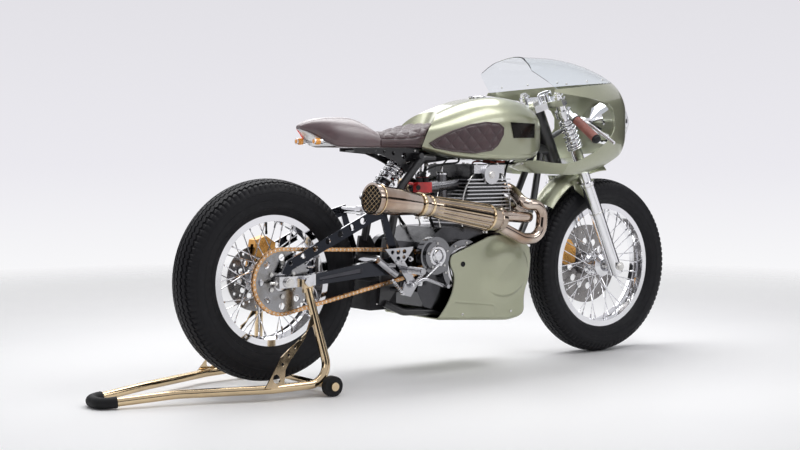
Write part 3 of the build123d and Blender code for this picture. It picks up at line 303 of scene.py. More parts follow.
# Swingarm: bright beam and edges, dark faces on the drilled brace
BEAM_TOP_Z = 384.0
BEAM_RISE_X = 70.0
BEAM_SLOPE = 0.134
BEAM_FROM_X = 105.0
BRACE_DARK = (0.028, 0.03, 0.037)
BEAM_DARK = (0.045, 0.047, 0.055)
arm_look = metal("swingarm_alloy", (0.74, 0.74, 0.76), 0.16, 0.6)
arm_x = arm_look.axis("X")
beyond = arm_look.calc("MAXIMUM", arm_look.calc("SUBTRACT", arm_x, (BEAM_RISE_X - X_MID) * MM))
beam_top = arm_look.calc("ADD", arm_look.calc("MULTIPLY", beyond, BEAM_SLOPE), BEAM_TOP_Z * MM)
above = arm_look.calc("GREATER_THAN", arm_look.axis("Z"), beam_top)
arm_side = arm_look.side_face()
arm_look.paint(BRACE_DARK, arm_look.calc("MULTIPLY", above, arm_side))
ahead = arm_look.calc("GREATER_THAN", arm_x, (BEAM_FROM_X - X_MID) * MM)
on_beam = arm_look.calc("MULTIPLY", ahead, arm_side)
arm_look.paint(BEAM_DARK, arm_look.calc("MULTIPLY", on_beam, arm_look.calc("SUBTRACT", 1.0, above)))

# Head and barrel: black castings whose fins have machined, bright edges
ENGINE_X = 850.0
FIN_HALF_X = 100.0
EDGE_WIDE = 1.5


def finned(name, half_y):
    look = Look(name, (0.022, 0.022, 0.024), 0.3, coat=0.3)
    look.rounded(0.5)
    look.tint((0.045, 0.045, 0.048), 30.0)
    ahead = look.calc("ABSOLUTE", look.calc("SUBTRACT", look.axis("X"), (ENGINE_X - X_MID) * MM))
    aside = look.calc("ABSOLUTE", look.axis("Y"))
    edge = look.calc("MAXIMUM", look.calc("GREATER_THAN", ahead, (FIN_HALF_X - EDGE_WIDE) * MM),
                     look.calc("GREATER_THAN", aside, (half_y - EDGE_WIDE) * MM))
    look.paint((0.7, 0.7, 0.72), edge).shade({"Metallic": edge})
    look.smears(0.06, 50.0)
    return look.relief(look.noise(600.0), 0.15, 0.6)


head_look = finned("black_head", 135.0)
barrel_look = finned("black_barrel", 128.0)

# Tank fittings: a bright cap, and bare dark plates on the sides
PLATE_FROM_Y = 60.0
trim_look = metal("tank_fittings", (0.8, 0.8, 0.82), 0.24, 0.8)
on_plate = trim_look.calc("GREATER_THAN", trim_look.calc("ABSOLUTE", trim_look.axis("Y")), PLATE_FROM_Y * MM)
trim_look.paint((0.03, 0.028, 0.026), on_plate)

# Glass and lamps
glass = Look("clear_screen", (0.93, 0.96, 0.97), 0.02).shade({"Transmission Weight": 1.0, "IOR": 1.12})
glass.relief(glass.noise(12.0, 1.0), 0.05, 0.3)
lens_glass = Look("lamp_glass", (0.95, 0.95, 0.95), 0.05).shade({"Transmission Weight": 1.0, "IOR": 1.3})
lens_glass.relief(lens_glass.noise(8.0, 0.0, (1.0, 25.0, 1.0)), 0.8, 0.8)
amber_glass = Look("amber_lens", (0.95, 0.42, 0.06), 0.15, coat=0.6)
amber_glass.shade({"Transmission Weight": 0.35, "Emission Color": (1.0, 0.45, 0.08, 1.0),
                   "Emission Strength": 0.12})
amber_glass.relief(amber_glass.cells(500.0), 0.3)
red_light = Look("red_light", (0.75, 0.04, 0.03), 0.2, coat=0.6)
red_light.shade({"Emission Color": (1.0, 0.06, 0.03, 1.0), "Emission Strength": 0.35})
red_light.relief(red_light.noise(600.0), 0.05)

NODE_LOOKS = [
    (chrome, "rear_rim front_rim rear_spokes front_spokes monoshock"),
    (chrome, "tail_lamps fork_legs instruments headlamp"),
    (polished, "rear_hub front_hub fork_yokes clip_ons"),
    (steel_bolt, "rear_axle front_axle"),
    (caliper_gold, "rear_caliper front_caliper"),
    (black_paint, "main_frame frame_cradle seat_rails"),
    (green, "fuel_tank belly_pan front_fender fairing"),
    (exhaust, "exhaust_headers muffler"),
    (soft_rubber, "stand_grip stand_rollers"),
    (disc_looks["rear"], "rear_disc"), (disc_looks["front"], "front_disc"),
    (sprocket_look, "rear_sprocket"), (chain_metal, "drive_chain"), (arm_look, "swingarm"),
    (trim_look, "tank_trim"), (case_painted_reflection, "engine_cases"), (cover_alloy, "engine_covers"),
    (barrel_look, "engine_cylinders"), (head_look, "engine_head"), (cast, "carburettors"),
    (red_gloss, "coil_pack"), (lead_rubber, "ignition_leads"), (shield_look, "heat_shield"),
    (foot_alloy, "rearsets"), (plastic, "battery_tray"), (dark_metal, "side_stand"),
    (gold, "stand_frame"), (glass, "windscreen"), (lens_glass, "headlamp_lens"),
]
for look, nodes in NODE_LOOKS:
    for node in nodes.split():
        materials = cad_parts[node].data.materials
        materials.clear()
        materials.append(look.material)


# Shapes
class Heap:
    """Many small shapes gathered into one mesh, in the row frame."""

    def __init__(self):
        self.points = []
        self.faces = []

    def add(self, points, faces):
        start = len(self.points)
        self.points.extend(points)
        self.faces.extend(tuple(start + index for index in face) for face in faces)

    def grid(self, rows, close_rows=False, close_columns=False, flip=False):
        """A skin over rows of points."""
        width = len(rows[0])
        faces = []
        for index in range(len(rows) if close_rows else len(rows) - 1):
            low = index * width
            high = (index + 1) % len(rows) * width
            for step in range(width if close_columns else width - 1):
                after = (step + 1) % width
                face = [low + step, low + after, high + after, high + step]
                if flip:
                    face[1:] = face[:0:-1]
                faces.append(face)
        self.add([point for row in rows for point in row], faces)

    def lathe(self, base, way, profile, sides=24):
        """A turned shape from rows of radius and height along way."""
        way = Vector(way).normalized()
        side = way.orthogonal().normalized()
        up = way.cross(side)
        points = []
        rings = []
        for radius, height in profile:
            centre = base + way * (height * MM)
            if radius < 0.001:
                rings.append([len(points)] * sides)
                points.append(centre)
                continue
            rings.append(list(range(len(points), len(points) + sides)))
            for turn in turns(sides):
                points.append(centre + (side * math.cos(turn) + up * math.sin(turn)) * (radius * MM))
        faces = []
        for low, high in zip(rings, rings[1:]):
            for index in range(sides):
                after = (index + 1) % sides
                face = list(dict.fromkeys((low[index], low[after], high[after], high[index])))
                if len(face) > 2:
                    faces.append(face)
        self.add(points, faces)

    def rod(self, base, way, radius, low, high, sides):
        """A round bar between two heights along way."""
        self.lathe(base, way, [(0, low), (radius, low), (radius, high), (0, high)], sides)

    def bolt(self, centre, way, radius, height=None):
        """A hexagon head on a washer."""
        tall = radius * 0.75 if height is None else height
        self.rod(centre, way, radius * 1.35, -0.5, 1.0, 16)
        head = [(0, 0.5), (radius, 0.5), (radius, tall - 0.6), (radius - 0.6, tall), (0, tall)]
        self.lathe(centre, way, head, 6)

    def socket_screw(self, centre, way, radius):
        """A round head with a hollow."""
        hollow = radius * 0.45
        floor = radius * 0.4
        head = [(0, -0.5), (radius, -0.5), (radius, radius * 0.8), (radius * 0.85, radius), (hollow, radius),
                (hollow, floor), (0, floor)]
        self.lathe(centre, way, head, 14)

    def tube(self, points, radius, sides=10):
        """A round tube along a line of points, closed at both ends."""
        count = len(points)
        ways = [(points[min(index + 1, count - 1)] - points[max(index - 1, 0)]).normalized()
                for index in range(count)]
        normal = ways[0].orthogonal().normalized()
        rows = []
        for index, (point, way) in enumerate(zip(points, ways)):
            if index:
                normal = ways[index - 1].rotation_difference(way) @ normal
            normal = (normal - way * normal.dot(way)).normalized()
            other = way.cross(normal)
            rows.append([point + (normal * math.cos(turn) + other * math.sin(turn)) * (radius * MM)
                         for turn in turns(sides)])
        first = len(self.points)
        self.grid(rows, close_columns=True)
        last = len(self.points) - sides
        self.faces.append(tuple(reversed(range(first, first + sides))))
        self.faces.append(tuple(range(last, last + sides)))

    def plate(self, outline, y_from, y_to):
        """A flat plate drawn in X and Z, between two values of Y."""
        count = len(outline)
        points = [at(x, y, z) for y in sorted((y_from, y_to)) for x, z in outline]
        faces = [tuple(range(count)), tuple(reversed(range(count, 2 * count)))]
        for index in range(count):
            after = (index + 1) % count
            faces.append((index, index + count, after + count, after))
        self.add(points, faces)


def piece(name, heap, look, body, sharp=38.0):
    mesh = bpy.data.meshes.new(name)
    mesh.from_pydata([tuple(point) for point in heap.points], [], heap.faces)
    mesh.validate()
    mesh.shade_smooth()
    mesh.set_sharp_from_angle(angle=math.radians(sharp))
    made = bpy.data.objects.new(name, mesh)
    scene.collection.objects.link(made)
    mesh.materials.append(look.material)
    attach(made, body)
    return made


def arc(start, middle, end, steps):
    """Points of the arc through three points, both ends included."""
    ax, ay = start
    bx, by = middle
    cx, cy = end
    double = 2 * (ax * (by - cy) + bx * (cy - ay) + cx * (ay - by))
    a_square = ax * ax + ay * ay
    b_square = bx * bx + by * by
    c_square = cx * cx + cy * cy
    mid_x = (a_square * (by - cy) + b_square * (cy - ay) + c_square * (ay - by)) / double
    mid_y = (a_square * (cx - bx) + b_square * (ax - cx) + c_square * (bx - ax)) / double
    radius = math.hypot(ax - mid_x, ay - mid_y)
    first, mid, last = (math.atan2(y - mid_y, x - mid_x) for x, y in (start, middle, end))
    sweep = (last - first) % (2 * math.pi)
    if (mid - first) % (2 * math.pi) >= sweep:
        sweep -= 2 * math.pi
    angles = [first + sweep * index / steps for index in range(steps + 1)]
    return [(mid_x + radius * math.cos(angle), mid_y + radius * math.sin(angle)) for angle in angles]


# Tyres: saw-toothed ribs on the crown and notched shoulders
TREAD_DEPTH = 5.0
GROOVES = (0.8, 0.48, 0.16, -0.16, -0.48, -0.8)
GROOVE_HALF = 2.6
GROOVE_LIP = 0.5
SAW_STEPS = (-1.0, -0.33, 0.33, 1.0)
SAW_REACH = 3.2
TEETH = 96
NOTCH = 4.5
CROWN_SHARE = 0.86
SHOULDER_LOW = 18
BED_LOW = 12
RIM_WALL = 4.7
RIM_LIP = 0.5
SPOKE_LEAN = math.radians(38)
WHEELS = [
    # name, axle x and z, tyre radius, half section, rim flange radius and half, hub flange radius and half
    ("rear", 0.0, REAR_Z, 336.0, 66.0, 217.0, 44.0, 62.0, 34.0),
    ("front", WHEELBASE, FRONT_Z, 341.0, 58.0, 242.0, 36.0, 44.0, 32.0),
]
for name, axle_x, axle_z, radius, half, flange, flange_half, hub_flange, hub_half in WHEELS:
    body = f"{name}_wheel"
    bed = flange - BED_LOW
    wall = flange_half - RIM_WALL
    shoulder = radius - SHOULDER_LOW
    crown_half = half * CROWN_SHARE
    crown_r = ((radius - shoulder) ** 2 + crown_half ** 2) / (2 * (radius - shoulder))
    side_mid = ((flange + shoulder) / 2, half)
    side_arc = arc((flange + RIM_LIP, flange_half + 2), side_mid, (shoulder, crown_half), 12)

    def crown(y, low=0.0):
        """Radius and Y on the crown at y, lowered into a groove by low."""
        rise = math.sqrt(crown_r ** 2 - y * y) - crown_r
        return (radius + rise - low, y)

    rows = []
    for index, turn in enumerate(turns(TEETH * len(SAW_STEPS))):
        saw = SAW_STEPS[index % len(SAW_STEPS)] * SAW_REACH
        notch = NOTCH if index % len(SAW_STEPS) == 0 else 0.0
        flank = [(flange + RIM_LIP, wall)] + side_arc[:-2]
        flank.append((side_arc[-2][0] - notch * 0.5, side_arc[-2][1] - notch * 0.6))
        top = [crown(crown_half - GROOVE_LIP, notch)]
        for share in GROOVES:
            y = share * crown_half + math.copysign(saw, share * saw)
            top.append(crown(y + GROOVE_HALF + GROOVE_LIP, notch if share == GROOVES[0] else 0.0))
            top.append(crown(y + GROOVE_HALF, TREAD_DEPTH))
            top.append(crown(y - GROOVE_HALF, TREAD_DEPTH))
            top.append(crown(y - GROOVE_HALF - GROOVE_LIP, notch if share == GROOVES[-1] else 0.0))
        top.append(crown(GROOVE_LIP - crown_half, notch))
        ring = [(bed, -wall), (bed, wall)] + flank + top + [(r, -y) for r, y in reversed(flank)]
        rows.append([on_circle(axle_x, axle_z, r, turn, y) for r, y in ring])
    heap = Heap()
    heap.grid(rows, close_rows=True, close_columns=True)
    tyre = piece(f"{name}_tyre_tread", heap, tyre_rubber, body, 30.0)
    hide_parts(f"{name}_tyre")

    ribs = Heap()
    for side in SIDES:
        for r, y in side_arc[3:10:3]:
            ribs.lathe(at(axle_x, side * y, axle_z), (0, side, 0),
                       [(r - 1.6, -2.0), (r - 0.8, 0.7), (r + 0.8, 0.7), (r + 1.6, -2.0)], 96)
    piece(f"{name}_sidewall_ribs", ribs, tyre_rubber, body)

    nipples = Heap()
    for index, rim_at in enumerate(turns(SPOKE_COUNT)):
        side = 1 if index % 2 else -1
        lean = 1 if index % 4 < 2 else -1
        layer = hub_half - (0 if lean > 0 else 5)
        start = on_circle(axle_x, axle_z, bed - 15, rim_at, side * 6)
        end = on_circle(axle_x, axle_z, hub_flange - 3, rim_at + lean * SPOKE_LEAN, side * (layer - 1))
        way = (end - start).normalized()
        nipples.lathe(start, way,
                      [(0, -4), (4.4, -4), (4.4, 0), (3.4, 1.5), (3.2, 16), (2.4, 18), (0, 18)], 8)
        nipples.lathe(end, -way, [(0, -3), (3.6, -3), (3.6, 0), (2.4, 3), (0, 3)], 8)
    piece(f"{name}_spoke_nipples", nipples, chrome, body)

    valve = Heap()
    valve.lathe(at(axle_x, 0, axle_z + bed - 16), (0, 0, -1),
                [(0, -4), (5, -4), (5, 0), (3.4, 2), (3.4, 26), (4.2, 27), (4.2, 36), (3, 38), (0, 38)], 12)
    piece(f"{name}_tyre_valve", valve, soft_rubber, body)

# Bolts on discs, sprocket and hubs
WHEEL_BOLTS = {
    # body: axle x, axle z, radius of the circle, y, radius of the bolts
    "rear_wheel": [(0.0, REAR_Z, 52, 73, 5.0), (0.0, REAR_Z, 48, -101, 5.5)],
    "front_wheel": [(WHEELBASE, FRONT_Z, 44, 63, 5.0)],
}
for body, rows in WHEEL_BOLTS.items():
    bolts = Heap()
    for turn in turns(6, 0.5):
        for x, z, circle, y, radius in rows:
            bolts.bolt(on_circle(x, z, circle, turn, y), (0, math.copysign(1, y), 0), radius)
    piece(f"{body}_bolts", bolts, steel_bolt, body)


# Springs as open coils
def spring(heap, base, way, radius, wire, length, coils):
    """A round wire coil, closer wound at its ends."""
    way = Vector(way).normalized()
    side = way.orthogonal().normalized()
    up = way.cross(side)
    points = []
    count = int(coils * 28)
    for index in range(count + 1):
        share = index / count
        lift = (share - math.sin(2 * math.pi * share) / (2 * math.pi) * 0.55) * length
        turn = 2 * math.pi * coils * share
        out = side * math.cos(turn) + up * math.sin(turn)
        points.append(base + way * (lift * MM) + out * (radius * MM))
    heap.tube(points, wire)


SHOCK_LOW = at(384.0, 0.0, 582.0)
SHOCK_WAY = (at(578.0, 0.0, 772.0) - SHOCK_LOW).normalized()
coil = Heap()
spring(coil, SHOCK_LOW + SHOCK_WAY * 53 * MM, SHOCK_WAY, 31.5, 4.8, 150, 7.5)
made = piece("shock_coil", coil, chrome, "chassis")
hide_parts("shock_spring")
sleeve = Heap()
sleeve.rod(SHOCK_LOW, SHOCK_WAY, 20, 60, 150, 28)
piece("shock_body", sleeve, dark_metal, "chassis")
coil = Heap()
fork_spring = UPPER_YOKE_S - SPRING_LOW_S - 66
for side in SIDES:
    spring(coil, leg_point(SPRING_LOW_S + 4, side * LEG_Y), FORK_WAY, 26.5, 3.6, fork_spring, 9)
made = piece("fork_coils", coil, chrome, "steering")
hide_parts("fork_springs")

# Foot controls: return springs, a link rod, bolts and knurled foot pegs
FOOT_SPRINGS = [
    # x, y, z at the lower end, then at the upper end, coils
    (470, 186, 330, 530, 172, 376, 11), (428, 184, 304, 392, 172, 352, 9),
]
HOOK_SHARE = 0.12
foot_springs = Heap()
foot_bits = Heap()
for side in SIDES:
    for x, y, z, high_x, high_y, high_z, coils in FOOT_SPRINGS:
        low = at(x, side * y, z)
        way = at(high_x, side * high_y, high_z) - low
        spring(foot_springs, low + way * HOOK_SHARE, way, 5.6, 1.3, way.length / MM * 0.76, coils)
        foot_springs.tube([low, low + way * HOOK_SHARE], 1.3, 8)
        foot_springs.tube([low + way * 0.88, low + way], 1.3, 8)
        for place in (low, low + way):
            foot_bits.lathe(place, (0, side, 0), [(0, -9), (4.5, -9), (4.5, 3), (3.5, 4), (0, 4)], 12)
    rod = [at(500, side * 184, 334), at(592, side * 178, 398)]
    foot_bits.tube(rod, 3.2)
    for place in rod:
        foot_bits.lathe(place, (0, side, 0),
                        [(0, -12), (4, -12), (4, -5), (7, -5), (7, 5), (4, 5), (4, 8), (0, 8)], 14)
    for x, z in ((408, 412), (432, 412), (470, 420), (452, 340)):
        foot_bits.socket_screw(at(x, side * 176, z), (0, side, 0), 5.0)
    for index in range(12):
        foot_bits.lathe(at(456, side * (184 + 6 * index), 384), (0, side, 0),
                        [(10.5, 0), (12.2, 0.8), (12.2, 2.6), (10.5, 3.4)], 20)
piece("foot_control_springs", foot_springs, chrome, "chassis")
piece("foot_control_fittings", foot_bits, polished, "chassis")

# Chain: rivet heads on both sides and waisted outer plates, along a line round both sprockets
CHAIN_PITCH = 15.875
REAR_TEETH = 42
REAR_PITCH_R = CHAIN_PITCH / (2 * math.sin(math.pi / REAR_TEETH))
FRONT_PITCH_R = 45.0
OUTPUT_X = 525.0
OUTPUT_Z = 400.0
LINK_EDGE = [(-6.2, 0.0), (-4.4, 4.6), (0.0, 6.4), (4.5, 5.6), (8.0, 4.9), (11.4, 5.6), (15.9, 6.4),
             (20.3, 4.6), (22.1, 0.0)]
LINK_EDGE += [(share, -wide) for share, wide in reversed(LINK_EDGE[1:-1])]
span = math.hypot(OUTPUT_X, OUTPUT_Z - REAR_Z)
heading = math.atan2(OUTPUT_Z - REAR_Z, OUTPUT_X)
lean = math.asin((REAR_PITCH_R - FRONT_PITCH_R) / span)
run = span * math.cos(lean)
front_wrap = FRONT_PITCH_R * (math.pi - 2 * lean)
loop = 2 * run + front_wrap + REAR_PITCH_R * (math.pi + 2 * lean)
links = 2 * round(loop / CHAIN_PITCH / 2)
upper = heading + math.pi / 2 - lean
lower = heading - math.pi / 2 + lean


def chain_spot(distance):
    """X and Z of the chain's line at a distance along its loop."""
    if distance < run:
        return (REAR_PITCH_R * math.cos(upper) + distance * math.sin(upper),
                REAR_Z + REAR_PITCH_R * math.sin(upper) - distance * math.cos(upper))
    distance -= run
    if distance < front_wrap:
        turn = upper - distance / FRONT_PITCH_R
        return OUTPUT_X + FRONT_PITCH_R * math.cos(turn), OUTPUT_Z + FRONT_PITCH_R * math.sin(turn)
    distance -= front_wrap
    if distance < run:
        return (OUTPUT_X + FRONT_PITCH_R * math.cos(lower) + distance * math.sin(lower),
                OUTPUT_Z + FRONT_PITCH_R * math.sin(lower) - distance * math.cos(lower))
    turn = lower - (distance - run) / REAR_PITCH_R
    return REAR_PITCH_R * math.cos(turn), REAR_Z + REAR_PITCH_R * math.sin(turn)


heads = Heap()
plates = Heap()
for index in range(links):
    x, z = chain_spot(index * loop / links)
    for side in SIDES:
        heads.lathe(at(x, CHAIN_Y + side * 5.8, z), (0, side, 0),
                    [(0, -0.5), (3.0, -0.5), (3.0, 0.9), (2.2, 1.5), (0, 1.5)], 10)
    if index % 2:
        continue
    next_x, next_z = chain_spot((index + 1) * loop / links)
    along = Vector((next_x - x, next_z - z)).normalized()
    outline = [(x + along.x * share - along.y * wide, z + along.y * share + along.x * wide)
               for share, wide in LINK_EDGE]
    for side in SIDES:
        plates.plate(outline, CHAIN_Y + side * 5.6, CHAIN_Y + side * 6.7)
piece("chain_rivets", heads, steel_bolt, "chassis")
piece("chain_outer_plates", plates, chain_metal, "chassis")

# Swingarm: dark inlays in the beam, adjuster bolts and brace screws
ARM_BOLTS = [
    # x, y, z, radius, height
    (0, 148, REAR_Z, 12.0, 5.0), (440, 114, 398, 13.0, 8.0), (384, 120, 582, 9.0, 6.0),
]
inlay = Heap()
adjusters = Heap()
for side in SIDES:
    inlay.plate([(122, 364.5), (288, 380), (288, 394), (122, 371.5)], side * 130.5, side * 132.0)
    adjusters.rod(at(-60, side * 125, REAR_Z), (1, 0, 0), 5, 0, 40, 12)
    adjusters.rod(at(-44, side * 125, REAR_Z), (1, 0, 0), 9, 0, 7, 6)
    for x, y, z, radius, tall in ARM_BOLTS:
        adjusters.bolt(at(x, side * y, z), (0, side, 0), radius, tall)
    adjusters.socket_screw(at(500, side * 74, 655), (0, side, 0), 5.0)
piece("swingarm_inlays", inlay, dark_metal, "chassis")
piece("swingarm_adjusters", adjusters, steel_bolt, "chassis")

# Exhaust: grille in the end ring, a black disc in the throat as painted shade, ribs on the shield, clamps,
# their screws and flanges
MUFF_JOINT = at(490, -216, 606)
MUFF_END = at(262, -232, 632)
SHIELD_FRONT = at(855, -190, 544)
muff_way = (MUFF_JOINT - MUFF_END).normalized()
shield_way = (SHIELD_FRONT - MUFF_JOINT).normalized()
# Painted shade: a matt black disc just inside the muffler's end, where the inside of the pipe would be in
# shade.
throat = Heap()
throat.lathe(MUFF_END, muff_way, [(0, 11.0), (45.7, 11.0), (45.7, 11.9), (0, 11.9)], 48)
piece("muffler_throat_painted_shade", throat, plastic, "chassis")
grille = Heap()
GRILLE_R = 46.0
GRILLE_STEP = 14.0
for sign in SIDES:
    bar_way = Vector((0, sign * 1.25, 1))
    bar_way = (bar_way - muff_way * bar_way.dot(muff_way)).normalized()
    cross_way = muff_way.cross(bar_way)
    for index in range(-3, 4):
        shift = index * GRILLE_STEP
        reach = math.sqrt(GRILLE_R ** 2 - shift * shift)
        centre = MUFF_END + muff_way * ((5.5 + sign * 0.9) * MM) + cross_way * (shift * MM)
        grille.tube([centre - bar_way * (reach * MM), centre + bar_way * (reach * MM)], 0.9, 8)
piece("muffler_grille", grille, gold, "chassis")

louvres = Heap()
# Distance along the shield and from its middle line, at both ends of a rib
LOUVRE_ENDS = [(along, 36.6 + 10.2 * (along - 18.0) / 282.0) for along in (42.0, 286.0)]
shield_side = (Vector((0, -1, 0)) - shield_way * shield_way.dot(Vector((0, -1, 0)))).normalized()
shield_up = shield_way.cross(shield_side)
for turn in (-70, -46, -24, -4, 16, 38, 62):
    out = shield_side * math.cos(math.radians(turn)) + shield_up * math.sin(math.radians(turn))
    louvres.tube([MUFF_JOINT + shield_way * (along * MM) + out * (reach * MM)
                  for along, reach in LOUVRE_ENDS], 1.3, 8)
piece("shield_ribs", louvres, gold, "chassis")

bands = Heap()
screws = Heap()
BANDS = [
    # base, way, distance along, radius, width
    (MUFF_END, muff_way, 205.0, 41.5, 12.0), (MUFF_JOINT, shield_way, 18.0, 37.0, 10.0),
    (MUFF_JOINT, shield_way, 300.0, 47.5, 9.0), (MUFF_END, muff_way, 24.0, 52.0, 4.0),
]
BAND_SCREWS = [
    # base, way, distance along, radius
    (MUFF_END, muff_way, 211.0, 42.0), (MUFF_JOINT, shield_way, 23.0, 38.0),
    (MUFF_JOINT, shield_way, 304.0, 48.5),
]
for base, way, along, radius, width in BANDS:
    bands.lathe(base + way * (along * MM), way,
                [(radius - 4, 0), (radius, 0), (radius + 0.6, width * 0.3), (radius + 0.6, width * 0.7),
                 (radius, width), (radius - 4, width)], 48)
for base, way, along, radius in BAND_SCREWS:
    down = Vector((0, 0, -1))
    down = (down - way * down.dot(way)).normalized()
    tangent = way.cross(down)
    spot = base + way * (along * MM) + down * ((radius + 4) * MM) - tangent * (8 * MM)
    screws.lathe(spot, tangent,
                 [(0, 0), (4.5, 0), (4.5, 3), (2.5, 3), (2.5, 15), (4.5, 15), (4.5, 19), (0, 19)], 8)
piece("exhaust_bands", bands, gold, "chassis")
piece("exhaust_band_screws", screws, steel_bolt, "chassis")
flanges = Heap()
for y in (-76, 76):
    flanges.lathe(at(918, y, 668), (1, 0, -0.1), [(24, 0), (31, 0), (31, 7), (24, 7)], 10)
    for turn in (0.6, 2.2, 3.8, 5.4):
        flanges.rod(at(923, y + 28 * math.cos(turn), 668 + 28 * math.sin(turn)), (1, 0, 0), 4, 0, 7, 6)
piece("exhaust_flanges", flanges, polished, "chassis")

# Engine: cover screws, raised rings, plugs, caps, float bowls and bell mouths
cover_screws = Heap()
cover_rings = Heap()
COVERS = [
    # x, z, face y, screw circle, screws, ring radius
    (590, 425, 168, 44, 5, 30), (720, 380, 152, 86, 10, 70), (900, 400, 150, 62, 8, 48),
]
TOP_BOLTS = [
    # x, y, z, radius
    (782, 96, 742, 6.0), (918, 96, 742, 6.0), (800, 122, 739, 5.0), (850, 122, 739, 5.0),
    (900, 122, 739, 5.0),
]
for side in SIDES:
    way = (0, side, 0)
    for x, z, y, circle, count, ring in COVERS:
        for turn in turns(count, 0.3):
            cover_screws.socket_screw(on_circle(x, z, circle, turn, side * y), way, 4.2)
        face = at(x, side * y, z)
        rise = [(ring - 6, -1), (ring - 4, 2.4), (ring, 3.2), (ring + 4, 2.4), (ring + 6, -1)]
        dome = [(ring - 8, -0.5), (ring - 14, 3.0), (ring * 0.5, 5.5), (ring * 0.22, 6.2), (0, 6.4)]
        cover_rings.lathe(face, way, rise, 56)
        cover_rings.lathe(face, way, dome, 48)
    cover_screws.bolt(at(850, side * 150, 704), way, 11.0, 6.0)
    for x, y, z, radius in TOP_BOLTS:
        cover_screws.bolt(at(x, side * y, z), (0, 0, 1), radius)
piece("engine_screws", cover_screws, steel_bolt, "chassis")
piece("engine_cover_rings", cover_rings, polished, "chassis")
caps = Heap()
for x in (560, 588):
    caps.lathe(at(x, -100, 679), (0, 0, 1), [(0, 0), (11.6, 0), (11.6, 18), (9, 20), (0, 20)], 20)
caps.rod(at(545, -84, 662), (0, -1, 0), 9, 30, 33, 16)
piece("coil_caps", caps, plastic, "chassis")

CARB_X = 690
CARB_Y = 62.0
MOUTH_Z = 658
MOUTH_R = 28.0
WIRE_STEP = 6.0
carb_bits = Heap()
mouths = Heap()
for side in SIDES:
    y = side * CARB_Y
    carb_bits.lathe(at(CARB_X, y, 604), (0, 0, -1),
                    [(0, -2), (20.6, -2), (20.6, 4), (15, 9), (8, 9), (8, 14), (0, 14)], 24)
    carb_bits.lathe(at(CARB_X, y, 706), (0, 0, 1),
                    [(0, -1), (21.5, -1), (21.5, 5), (18, 9), (5, 10), (5, 18), (0, 18)], 24)
    for turn in (0.8, 2.4, 3.9, 5.5):
        place = at(CARB_X + 17 * math.cos(turn), y + 17 * math.sin(turn), 711)
        carb_bits.socket_screw(place, (0, 0, 1), 2.6)
    mouths.lathe(at(612, y, MOUTH_Z), (-1, 0, -0.1),
                 [(27, -0.5), (33.4, -0.5), (33.4, 3), (30, 5), (27, 3)], 32)
    for index in range(-4, 5):
        shift = index * WIRE_STEP
        reach = math.sqrt(MOUTH_R ** 2 - shift ** 2)
        mouths.tube([at(611, y + shift, MOUTH_Z - reach), at(611, y + shift, MOUTH_Z + reach)], 0.7, 6)
        mouths.tube([at(610.6, y - reach, MOUTH_Z + shift), at(610.6, y + reach, MOUTH_Z + shift)], 0.7, 6)
piece("carburettor_caps", carb_bits, polished, "chassis")
piece("carburettor_mouths", mouths, gold, "chassis")

# Fork, yokes and controls: pinch bolts, top caps, clamp bolts
fork_bolts = Heap()
for side in SIDES:
    for s in (438.0, 697.0):
        fork_bolts.socket_screw(leg_point(s, side * 70, 26), AHEAD_WAY, 5.0)
    fork_bolts.lathe(leg_point(730, side * LEG_Y), FORK_WAY,
                     [(0, -1), (14, -1), (14, 5), (12, 7), (0, 7)], 6)
    fork_bolts.bolt(at(WHEELBASE, side * 131, FRONT_Z), (0, side, 0), 13.0, 6.0)
    for s in (-22.0, 24.0):
        fork_bolts.socket_screw(leg_point(s, side * LEG_Y, 25.0), AHEAD_WAY, 4.5)
    fork_bolts.socket_screw(leg_point(650, side * 124, 0), (0, side, 0), 4.5)
    for s in (346.0, 230.0):
        fork_bolts.lathe(leg_point(s, side * LEG_Y), FORK_WAY,
                         [(26.0, 0), (27.2, 1), (27.2, 5), (26.0, 6)], 32)
fork_bolts.lathe(leg_point(UPPER_YOKE_S + YOKE_T, 0, -LEG_OFFSET), FORK_WAY,
                 [(0, 0), (21, 0), (21, 11), (17, 14), (0, 14)], 6)
piece("fork_bolts", fork_bolts, steel_bolt, "steering")

# Grips: bound in raised turns, with a collar and an end plug
GRIP_CORE = 11.2
GRIP_R = 15.4
RIB_R = 16.9
RIB_STEP = 5.2
grip_span = Vector(GRIP_OUT) - Vector(GRIP_IN)
grip_way = grip_span.normalized()
grip_len = grip_span.length
grip_ribs = Heap()
grip_ends = Heap()
for side in SIDES:
    start = at(GRIP_IN[0], side * GRIP_IN[1], GRIP_IN[2])
    way = Vector((grip_way.x, side * grip_way.y, grip_way.z))
    profile = [(GRIP_CORE, 0), (16.4, 0)]
    along = 1.0
    while along + RIB_STEP < grip_len:
        profile += [(GRIP_R, along), (RIB_R, along + RIB_STEP * 0.3), (RIB_R, along + RIB_STEP * 0.7),
                    (GRIP_R, along + RIB_STEP)]
        along += RIB_STEP
    profile += [(GRIP_R, grip_len), (GRIP_CORE, grip_len)]
    grip_ribs.lathe(start, way, profile, 28)
    grip_ends.lathe(start, way, [(GRIP_CORE, -4), (17.6, -4), (17.6, 2), (GRIP_CORE, 2)], 28)
    plug = [(GRIP_CORE, -2), (17.4, -2), (17.4, 1), (15, 2), (15, 9), (13, 10), (0, 10)]
    grip_ends.lathe(start, way, [(r, grip_len + step) for r, step in plug], 28)
made = piece("ribbed_grips", grip_ribs, grip_hide, "steering")
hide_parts("grips")
piece("grip_collars", grip_ends, plastic, "steering")

